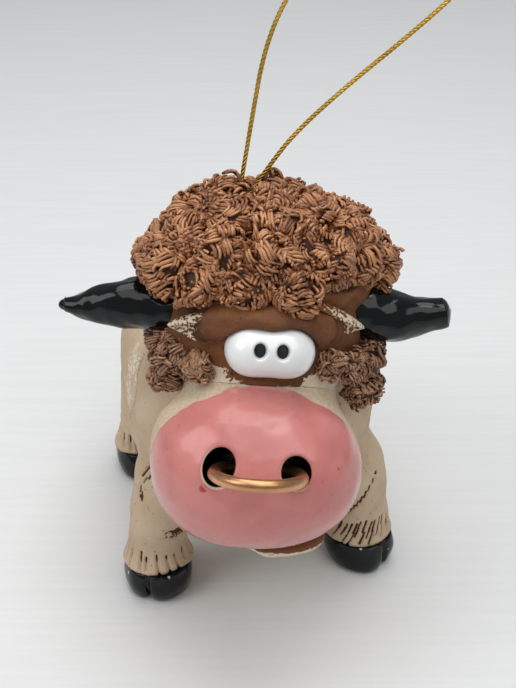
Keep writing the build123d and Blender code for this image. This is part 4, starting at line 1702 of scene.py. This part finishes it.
@dataclass
class Hair:
    """Curls of clay pressed through a sieve: a pad on the skull, the mop and the cheeks."""

    palette: Palette
    cord_points: Array
    mop_middle: Point = (0.0, 1.5, 10.5)
    mop_halves: Point = (28.4, 22.0, 19.0)
    pad_inset: float = 5.2
    tuft_radius: float = 5.6
    stand: float = 0.8
    stand_turn: float = 110.0
    low_row: tuple[float, int, float] = (8.0, 14, 1.0)
    high_row: tuple[float, int, float] = (38.0, 11, 0.45)
    crown_row: tuple[float, int] = (66.0, 6)
    nape_row: tuple[float, int, float] = (-24.0, 5, 26.0)
    front_raise: float = 6.0
    left_raise: tuple[float, float, float] = (24.0, 50.0, 28.0)
    strand_radius: float = 0.37
    strand_sides: int = 5
    strand_rings: int = 6
    bundles: int = 60
    standing: float = 0.25
    shake: Waves = ((0.75, 107, 10.0), (0.25, 108, 4.5))
    shade_core_share: float = 0.83
    staple: Pair = (-5.5, 9.5)
    pit_radius: float = 3.2
    pit_depth: float = 6.5
    pit_floor: float = 14.0
    well_floor: float = 16.0
    cord_room: float = 1.3
    cord_places: int = 160
    fringe_end: float = 52.0
    nape_start: float = 128.0
    right_cheek: tuple[Values, ...] = (
        (20.6, 6.7, 3.8, 4.3), (18.0, 11.9, 3.6, 4.3), (12.8, 16.7, 3.0, 3.3), (19.2, 10.4, 9.4, 3.3),
    )
    left_cheek: tuple[Values, ...] = (
        (22.2, 6.4, 3.4, 4.5), (18.4, 11.7, 3.4, 4.4), (13.4, 16.5, 0.8, 3.3), (21.4, 9.4, 10.4, 4.4),
    )

    def tuft(self, bearing: float, lift: float, stand: float = 0.0) -> Tuft:
        """A ball on the mop's surface at a bearing round from the front and a lift."""
        way = toward(bearing, lift)
        halves = np.array(self.mop_halves)
        middle = np.array(self.mop_middle) + (halves - self.tuft_radius + stand) * way
        return Tuft(middle, self.tuft_radius, unit(way / halves))

    def uneven(self, number: int) -> float:
        """How far a row's ball of this number stands out of the mop."""
        return self.stand * math.sin(math.radians(self.stand_turn * number))

    def raised(self, bearing: float) -> float:
        """How much higher the hair ends over the face, most over the left ear."""
        most, middle, width = self.left_raise
        front = self.front_raise * max(0.0, math.cos(math.radians(bearing)))
        return front + most * math.exp(-(((bearing - middle) / width) ** 2))

    def groups(self) -> dict[str, list[Tuft]]:
        """The balls of each hair piece, sorted by where they sit."""
        names = ("crown", "fringe", "right", "left", "nape")
        found: dict[str, list[Tuft]] = {name: [] for name in names}
        for lift, count, share in (self.low_row, self.high_row):
            for i in range(count):
                bearing = (i + 0.5) * 360 / count - 180
                name = "right" if bearing < 0 else "left"
                name = "fringe" if abs(bearing) < self.fringe_end else name
                name = "nape" if abs(bearing) > self.nape_start else name
                stand = 0.0 if name == "nape" else self.uneven(i)
                found[name].append(self.tuft(bearing, lift + share * self.raised(bearing), stand))
        lift, count = self.crown_row
        found["crown"] = [self.tuft(i * 360 / count, lift, self.uneven(i)) for i in range(count)]
        found["crown"].append(self.tuft(0, 90))
        lift, count, step = self.nape_row
        found["nape"] += [self.tuft(180 + (i - (count - 1) / 2) * step, lift) for i in range(count)]
        return found

    def strands(
        self, tufts: list[Tuft], seed: int, bundles: int, each: int = 4, size: float = 1.0
    ) -> Skin:
        """Curls over some balls, in small bundles that lie alike.

        Bundles are spread over each ball's outward side by the golden angle.  In a bundle the strands
        run side by side and share a curl: a strand heads out at a first angle and turns evenly over
        its length, so that it stands as a brush or bends over as a hook.  Its highest place is put
        on the ball's surface, its spread across is bent with the ball, and a slow wave shakes it.

        Args:
            tufts: The balls.
            seed: Seed of the draw.
            bundles: Bundles on each ball.
            each: Strands in each bundle.
            size: Share of the mop's strand sizes.

        Returns:
            The strands with the marks "height" (painted shade and light: 0 deep, 1 outside and facing out)
            and "tone" (per strand).
        """
        draw = np.random.default_rng(seed)
        count = len(tufts) * bundles
        middles = np.repeat(np.stack([tuft.middle for tuft in tufts]), bundles, axis=0)
        radii = np.repeat(np.array([tuft.radius for tuft in tufts]), bundles)
        place = self.places(tufts, bundles, draw)
        lie = unit(np.cross(place, draw.normal(size=(count, 3))))
        side = np.cross(place, lie)
        standing = draw.random(count) < self.standing
        first = np.where(standing, draw.uniform(-0.25, 0.25, count), draw.uniform(-0.5, 0.6, count))
        turn = np.where(standing, draw.uniform(0.2, 0.9, count), draw.uniform(1.3, 3.0, count))
        length = size * np.where(standing, draw.uniform(1.8, 2.8, count), draw.uniform(2.6, 5.0, count))
        top = size * draw.uniform(-0.6, 0.7, count)
        fan, bow = draw.normal(0, 0.3, count), draw.normal(0, 0.8, count)

        bundle = np.repeat(np.arange(count), each)
        strands = count * each
        row = np.tile(np.arange(each) - (each - 1) / 2, count)
        share = np.linspace(0, 1, self.strand_rings)[None, :]
        first = (first[bundle] + draw.normal(0, 0.14, strands))[:, None]
        turn = np.maximum(turn[bundle] + draw.normal(0, 0.2, strands), 0.1)[:, None]
        length = (length[bundle] * draw.uniform(0.8, 1.15, strands))[:, None]
        reach = length * (np.cos(first) - np.cos(first + turn * share)) / turn
        rise = length * (np.sin(first + turn * share) - np.sin(first)) / turn
        reach = reach - reach.mean(1, keepdims=True)
        gap = 2.0 * size * self.strand_radius
        across = (row * gap + draw.normal(0, 0.1, strands))[:, None]
        across = across * (1 + fan[bundle][:, None] * (share - 0.5))
        across = across + bow[bundle][:, None] * (share - 0.5) ** 2
        ball = radii[bundle][:, None]
        rise = rise - (reach**2 + across**2) / (2 * ball)
        level = ball - size * self.strand_radius + (top[bundle] + draw.normal(0, 0.16, strands))[:, None]
        rise = level + rise - rise.max(1, keepdims=True)
        axes = np.stack([place, lie, side], axis=1)[bundle]
        paths = np.einsum("srk,skj->srj", np.stack([rise, reach, across], axis=-1), axes)
        paths = paths + middles[bundle][:, None]
        paths = self.shaken(paths)

        keep = self.clear(paths)
        paths, bundle, rise, ball = paths[keep], bundle[keep], rise[keep], ball[keep]
        thick = size * self.strand_radius * draw.uniform(0.78, 1.16, len(paths))
        profile = np.array([0.78] + [1.0] * (self.strand_rings - 2) + [0.78])
        girths = (thick[:, None] * profile)[..., None]
        skin = sweep(paths, girths, self.strand_sides, lie[bundle] + place[bundle])
        rims = skin.points.reshape(len(paths), -1, 3)[:, :-2].reshape(*paths.shape[:2], -1, 3)
        outward = np.einsum("srvj,sj->srv", unit(rims - paths[:, :, None]), place[bundle])
        # painted shade and light: darker deep in the ball and on each strand's inward side, lighter on its
        # outward side
        height = ((rise - ball + 2.6) / 2.6)[..., None] * 0.5 + 0.25 + 0.25 * outward
        ends = np.stack([height[:, 0].mean(1), height[:, -1].mean(1)], axis=1)
        tone = draw.normal(0.62, 0.22, count)[bundle] + draw.normal(0, 0.16, len(bundle))
        tone = np.clip(tone, 0.05, 1)
        skin.marks = {
            "height": np.concatenate([height.reshape(len(paths), -1), ends], axis=1).ravel(),
            "tone": np.repeat(tone, self.strand_rings * self.strand_sides + 2),
        }
        return skin

    def shaken(self, points: Array) -> Array:
        """Moves points by a slow and a quick wave, so that the balls lose their roundness."""
        return points + np.stack([worked(points + 9.0 * k, self.shake) for k in range(3)], axis=-1)

    def places(self, tufts: list[Tuft], bundles: int, draw: np.random.Generator) -> Array:
        """Directions over each ball's outward side, spread by the golden angle and shaken a little.

        Args:
            tufts: The balls.
            bundles: How many directions each gets.
            draw: Seeded draw.

        Returns:
            Unit directions, ball by ball.
        """
        facing = np.stack([tuft.facing for tuft in tufts])
        aside = unit(np.cross(facing, draw.normal(size=facing.shape)))
        over = np.cross(facing, aside)
        lift = 1 - 1.3 * (np.arange(bundles) + 0.5) / bundles
        angle = np.arange(bundles) * np.pi * (3 - math.sqrt(5))
        flat = np.sqrt(1 - lift**2)
        cap = np.stack([lift, flat * np.cos(angle), flat * np.sin(angle)], axis=-1)
        spread = np.einsum("bk,tkj->tbj", cap, np.stack([facing, aside, over], axis=1)).reshape(-1, 3)
        return unit(spread + draw.normal(0, 0.1, spread.shape))

    def clear(self, paths: Array) -> Array:
        """True for strands that keep out of the hanger's pit and the cord's way.

        Args:
            paths: Ring middles of the strands, in the head's frame.

        Returns:
            One truth value per strand.
        """
        aside = np.hypot(paths[..., 0] - self.staple[0], paths[..., 1] - self.staple[1])
        in_pit = ((aside < self.pit_radius) & (paths[..., 2] > self.pit_floor)).any(1)
        cord = self.cord_points[:: max(1, len(self.cord_points) // self.cord_places)]
        near = np.linalg.norm(paths[:, ::2, None] - cord, axis=-1).min((1, 2)) < self.cord_room
        return ~(in_pit | near)

    def well(self, points: Array) -> Array:
        """How far a surface near the crown sinks to leave room for the staple and its knot."""
        aside = np.hypot(points[:, 0] - self.staple[0], points[:, 1] - self.staple[1])
        depth = self.pit_depth * ease(aside, self.pit_radius + 0.8, self.pit_radius - 0.8)
        return np.where(points[:, 2] > self.well_floor, depth, 0)

    def shade_cores(self, tufts: list[Tuft]) -> Skin:
        """A dark core in each ball, painted shade, so that no gap shows through."""
        ball = even_globe(12, 18, Axis.Z)
        middles = np.stack([tuft.middle for tuft in tufts])
        radii = np.array([tuft.radius for tuft in tufts]) * self.shade_core_share
        points = self.shaken((middles[:, None] + radii[:, None, None] * ball.points).reshape(-1, 3))
        offset = np.arange(len(tufts))[:, None, None] * len(ball.points)
        points[:, 2] -= self.well(points)
        # low "height" gives the cores the painted crevice shade
        marks = {"height": np.full(len(points), 0.12), "tone": np.full(len(points), 0.2)}
        quads, tris = ball.quads + offset, ball.tris + offset
        return Skin(points, quads.reshape(-1, 4), tris.reshape(-1, 3), marks)

    def pad(self) -> Skin:
        """The pad under the curls: an egg with a lumpy skin and a well for the staple, painted dark on top
        as shade between the curls.
        """
        skin = even_globe(90, 120, Axis.Z)
        points = skin.points * (np.array(self.mop_halves) - self.pad_inset) + np.array(self.mop_middle)
        points = points + unit(skin.points) * worked(points, ((0.35, 95, 5.0),))[:, None]
        points[:, 2] -= self.well(points)
        skin.points = points
        # painted shade: the pad turns dark above z 11 where it shows between the curls
        skin.marks = {"stain": 0.9 * ease(points[:, 2], 11.0, 15.0)}
        return skin

    def cheek(self, side: Side) -> list[Tuft]:
        """The balls of one cheek tuft, from the side of the skull to the eyes."""
        balls = self.right_cheek if side is Side.RIGHT else self.left_cheek
        facing = unit(np.array([side.value * 0.55, -0.75, 0.35]))
        return [Tuft(np.array([side.value * x, -y, -z]), radius, facing) for x, y, z, radius in balls]

    def build(self) -> None:
        """Lays the pad, the mop's five pieces and the cheeks."""
        self.lay("hair_pad", [self.pad()], self.palette.brown)
        for number, (name, tufts) in enumerate(self.groups().items()):
            skins = [self.strands(tufts, 101 + number, self.bundles), self.shade_cores(tufts)]
            self.lay(f"hair_{name}", skins, self.palette.curls)
        for number, side in enumerate(Side):
            tufts = self.cheek(side)
            skins = [self.strands(tufts, 121 + number, 64, each=3, size=0.8), self.shade_cores(tufts)]
            self.lay(f"{side.name.lower()}_cheek_tuft", skins, self.palette.cheeks)

    def lay(self, node: str, skins: list[Skin], finish: Material) -> None:
        """Lays one hair piece that stands for a node."""
        for skin in skins:
            skin.points = HEAD.out(skin.points)
        seat(lay_mesh(f"{node}_curls", skins, [finish]), node)


@dataclass
class Tail:
    """A clay rope down the rump and the curls at its end."""

    palette: Palette
    hair: Hair
    rump: Point = (1.9, 49.7, 0.0)
    radius: float = 2.28
    root_height: float = 50.0
    tip_height: float = 27.0
    swing: float = 6.0
    tuft_radius: float = 3.7

    def build(self) -> None:
        """Lays the rope and its tuft."""
        share = np.linspace(0, 1, 90)
        stand = np.interp(share, [0, 0.3, 0.65, 1], [-6.0, self.radius, self.radius + 1.5, self.radius])
        stand = smoothed(stand, 15)
        rise = self.root_height + (self.tip_height - self.root_height) * share
        path = np.array(self.rump) + np.stack([self.swing * share**2, stand, rise], axis=-1)
        columns = 40
        angle = np.arange(columns) * 2 * np.pi / columns
        twist = 0.16 * np.sin(3 * (angle[None, :] + 9.0 * share[:, None] * 2))
        girth = self.radius * (1.15 - 0.35 * share)
        skin = sweep(path[None], (girth[:, None] + twist)[None], columns, ACROSS[None])
        groove = np.concatenate([ease(-twist, 0.05, 0.16).ravel(), [0, 0]])
        skin.marks = {"stain": 0.6 * groove, "pale": np.zeros(len(skin.points))}
        seat(lay_mesh("tail_rope", [skin], [self.palette.slip]), "tail")
        tip = np.array([self.rump[0] + self.swing, self.rump[1] + self.radius, self.tip_height])
        facing, radius = np.array([0.2, 1.0, -0.2]), self.tuft_radius
        tufts = [
            Tuft(tip - step * radius * UPWARD, radius * size, facing)
            for step, size in ((0.2, 0.8), (0.9, 1.0), (1.7, 0.75))
        ]
        skins = [self.hair.strands(tufts, 141, 34), self.hair.shade_cores(tufts)]
        seat(lay_mesh("tail_tuft_curls", skins, [self.palette.curls]), "tail_tuft")


@dataclass
class Hanger:
    """The gold cord's loop, its knot and the staple that it is knotted on."""

    palette: Palette
    nodes: dict[str, Thing]
    knot: Point = (-0.135, -0.43, 93.66)
    turn: float = -12.0
    lean: float = 14.0
    diameter: float = 1.0
    length: float = 157.2
    strand_count: int = 3
    lay_pitch: float = 3.0
    knot_radius: float = 1.8
    route: tuple[Pair, ...] = (
        (-0.9, 0.8), (0.4, 8.5), (2.2, 19.0), (4.2, 30.0), (8.0, 40.0), (14.5, 49.0), (24.0, 56.0),
        (35.0, 58.5), (44.5, 55.0), (47.5, 47.0), (41.3, 40.5), (32.0, 32.4), (20.5, 23.0),
        (10.5, 13.8), (5.0, 6.6), (1.0, 0.8),
    )

    def plane(self) -> Array:
        """The loop's plane as rows: across, up and square to it."""
        turn, lean = math.radians(self.turn), math.radians(self.lean)
        across = np.array([math.cos(turn), math.sin(turn), 0])
        back = np.array([-math.sin(turn), math.cos(turn), 0])
        up = math.sin(lean) * back + math.cos(lean) * UPWARD
        return np.stack([across, up, np.cross(across, up)])

    def line(self) -> Array:
        """The cord's middle line, read from a NURBS spline with the route as its control points."""
        control = np.array(self.knot) + np.array(self.route) @ self.plane()[:2]
        curve = bpy.data.curves.new("cord_route", "CURVE")
        curve.dimensions = "3D"
        spline = curve.splines.new("NURBS")
        spline.points.add(len(control) - 1)
        spline.points.foreach_set("co", np.hstack([control * MM, np.ones((len(control), 1))]).ravel())
        spline.order_u = 3
        spline.use_endpoint_u = True
        spline.resolution_u = 32
        holder = bpy.data.objects.new("cord_route", curve)
        bpy.context.scene.collection.objects.link(holder)
        read = bpy.data.meshes.new_from_object(holder)
        points = np.zeros(len(read.vertices) * 3)
        read.vertices.foreach_get("co", points)
        bpy.data.objects.remove(holder)
        bpy.data.curves.remove(curve)
        bpy.data.meshes.remove(read)
        return points.reshape(-1, 3) / MM

    def cord(self, line: Array) -> Skin:
        """The strands of the cord, laid round its middle line at a steady pitch."""
        travelled = np.concatenate([[0], np.cumsum(np.linalg.norm(np.diff(line, axis=0), axis=1))])
        along = unit(np.gradient(line, axis=0))
        normal = np.broadcast_to(self.plane()[2], along.shape)
        across = np.cross(along, normal)
        radius = self.diameter / 2
        wind = 2 * np.pi * travelled[None, :] / self.lay_pitch
        wind = wind + (np.arange(self.strand_count) * 2 * np.pi / self.strand_count)[:, None]
        offset = np.cos(wind)[..., None] * normal + np.sin(wind)[..., None] * across
        paths = line + 0.46 * radius * offset
        reference = np.broadcast_to(self.plane()[2], (self.strand_count, 3))
        return sweep(paths, np.full((1, 1, 1), 0.54 * radius), 8, reference)

    def knot_skin(self) -> Skin:
        """A small overhand knot: a trefoil of cord, drawn tight."""
        t = np.linspace(0, 2 * np.pi, 150)
        across, up = np.sin(t) + 2 * np.sin(2 * t), np.cos(t) - 2 * np.cos(2 * t)
        trefoil = np.stack([across, up, -1.4 * np.sin(3 * t)], axis=-1)
        path = np.array(self.knot) + (self.knot_radius - 0.5) / 3.0 * trefoil @ self.plane()
        return sweep(path[None], np.full((1, 1, 1), 0.52), 10, self.plane()[2][None])

    def build(self, line: Array) -> None:
        """Lays the cord and its knot, and finishes the staple.

        Args:
            line: The cord's middle line.
        """
        gold = [self.palette.gold]
        cord = lay_mesh("hanging_cord_strands", [self.cord(line)], gold)
        seat(cord, "hanging_cord")
        knot = lay_mesh("cord_knot_tied", [self.knot_skin()], gold)
        seat(knot, "cord_knot")
        staple = self.nodes["hanger_staple"].data
        staple.materials.clear()
        staple.materials.append(self.palette.steel)


@dataclass
class Studio:
    """Pale floor, soft lamps, sky and the camera at the photograph's angle."""

    target: Point = (5.6, 11.7, 50.0)
    azimuth: float = -12.0
    elevation: float = 32.0
    distance: float = 330.0
    view_angle: float = 27.27
    sensor: float = 36.0
    floor_half: float = 1500.0
    floor_steps: int = 8
    sky: str = "f2f5f8"
    sky_strength: float = 0.34

    def aim(self, thing: Thing, place: Array) -> None:
        """Puts a camera or lamp at a place and points it at the target."""
        thing.location = Vector(place * MM)
        thing.rotation_euler = Vector(np.array(self.target) - place).to_track_quat("-Z", "Y").to_euler()
        bpy.context.scene.collection.objects.link(thing)

    def around(self, azimuth: float, elevation: float, reach: float) -> Array:
        """The place at an azimuth (0 is the front), an elevation and a reach from the target."""
        return np.array(self.target) + reach * toward(azimuth, elevation)

    def lamp(self, name: str, place: Array, size: float, power: float) -> None:
        """Adds a soft square lamp.

        Args:
            name: Name of the lamp.
            place: Where it stands.
            size: Side of the lamp.
            power: Watts.
        """
        light = bpy.data.lights.new(name, "AREA")
        light.size = size * MM
        light.energy = power
        self.aim(bpy.data.objects.new(name, light), place)

    def floor(self) -> None:
        """Lays the floor as a gently gridded sheet."""
        steps = np.arange(self.floor_steps)
        row = self.floor_steps + 1
        span = np.linspace(-self.floor_half, self.floor_half, row)
        x, y = np.meshgrid(span, span, indexing="ij")
        points = np.stack([x.ravel(), y.ravel(), np.zeros(x.size)], axis=-1)
        first = (steps[:, None] * row + steps[None, :]).ravel()
        quads = np.stack([first, first + row, first + row + 1, first + 1], axis=-1)
        finish = FloorFinish("pale_card", "e2e3e3", "dfe0e0").material()
        lay_mesh("floor", [Skin(points, quads, np.zeros((0, 3), int))], [finish])

    def build(self) -> None:
        """Lays the floor and adds lamps, sky and camera."""
        self.floor()
        self.lamp("overhead_box", self.around(160.0, 79.0, 520.0), size=420.0, power=1.5)
        self.lamp("left_window", self.around(-75.0, 42.0, 620.0), size=360.0, power=1.1)
        self.lamp("front_fill", self.around(15.0, 62.0, 700.0), size=600.0, power=2.0)
        world = bpy.data.worlds.new("soft_sky")
        world.use_nodes = True
        sky = world.node_tree.nodes["Background"]
        sky.inputs["Color"].default_value = rgb(self.sky)
        sky.inputs["Strength"].default_value = self.sky_strength
        scene = bpy.context.scene
        scene.world = world
        lens = bpy.data.cameras.new("photo_camera")
        lens.sensor_width = self.sensor
        lens.lens = self.sensor / 2 / math.tan(math.radians(self.view_angle / 2))
        camera = bpy.data.objects.new("photo_camera", lens)
        self.aim(camera, self.around(self.azimuth, self.elevation, self.distance))
        scene.camera = camera
        scene.view_settings.view_transform = "Standard"


def main() -> None:
    """Builds the ornament's looks round the frame, in order."""
    logging.basicConfig(level=logging.INFO, format="%(name)s: %(message)s")
    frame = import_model()
    palette = Palette()
    Studio().build()
    hanger = Hanger(palette, frame["nodes"])
    line = hanger.line()
    hanger.build(line)
    Trunk(palette).build()
    Face(palette).build()
    Muzzle(palette).build()
    Horns(palette).build()
    hair = Hair(palette, HEAD.into(line))
    hair.build()
    Tail(palette, hair).build()
    bpy.context.view_layer.update()


if __name__ == "__main__":
    main()
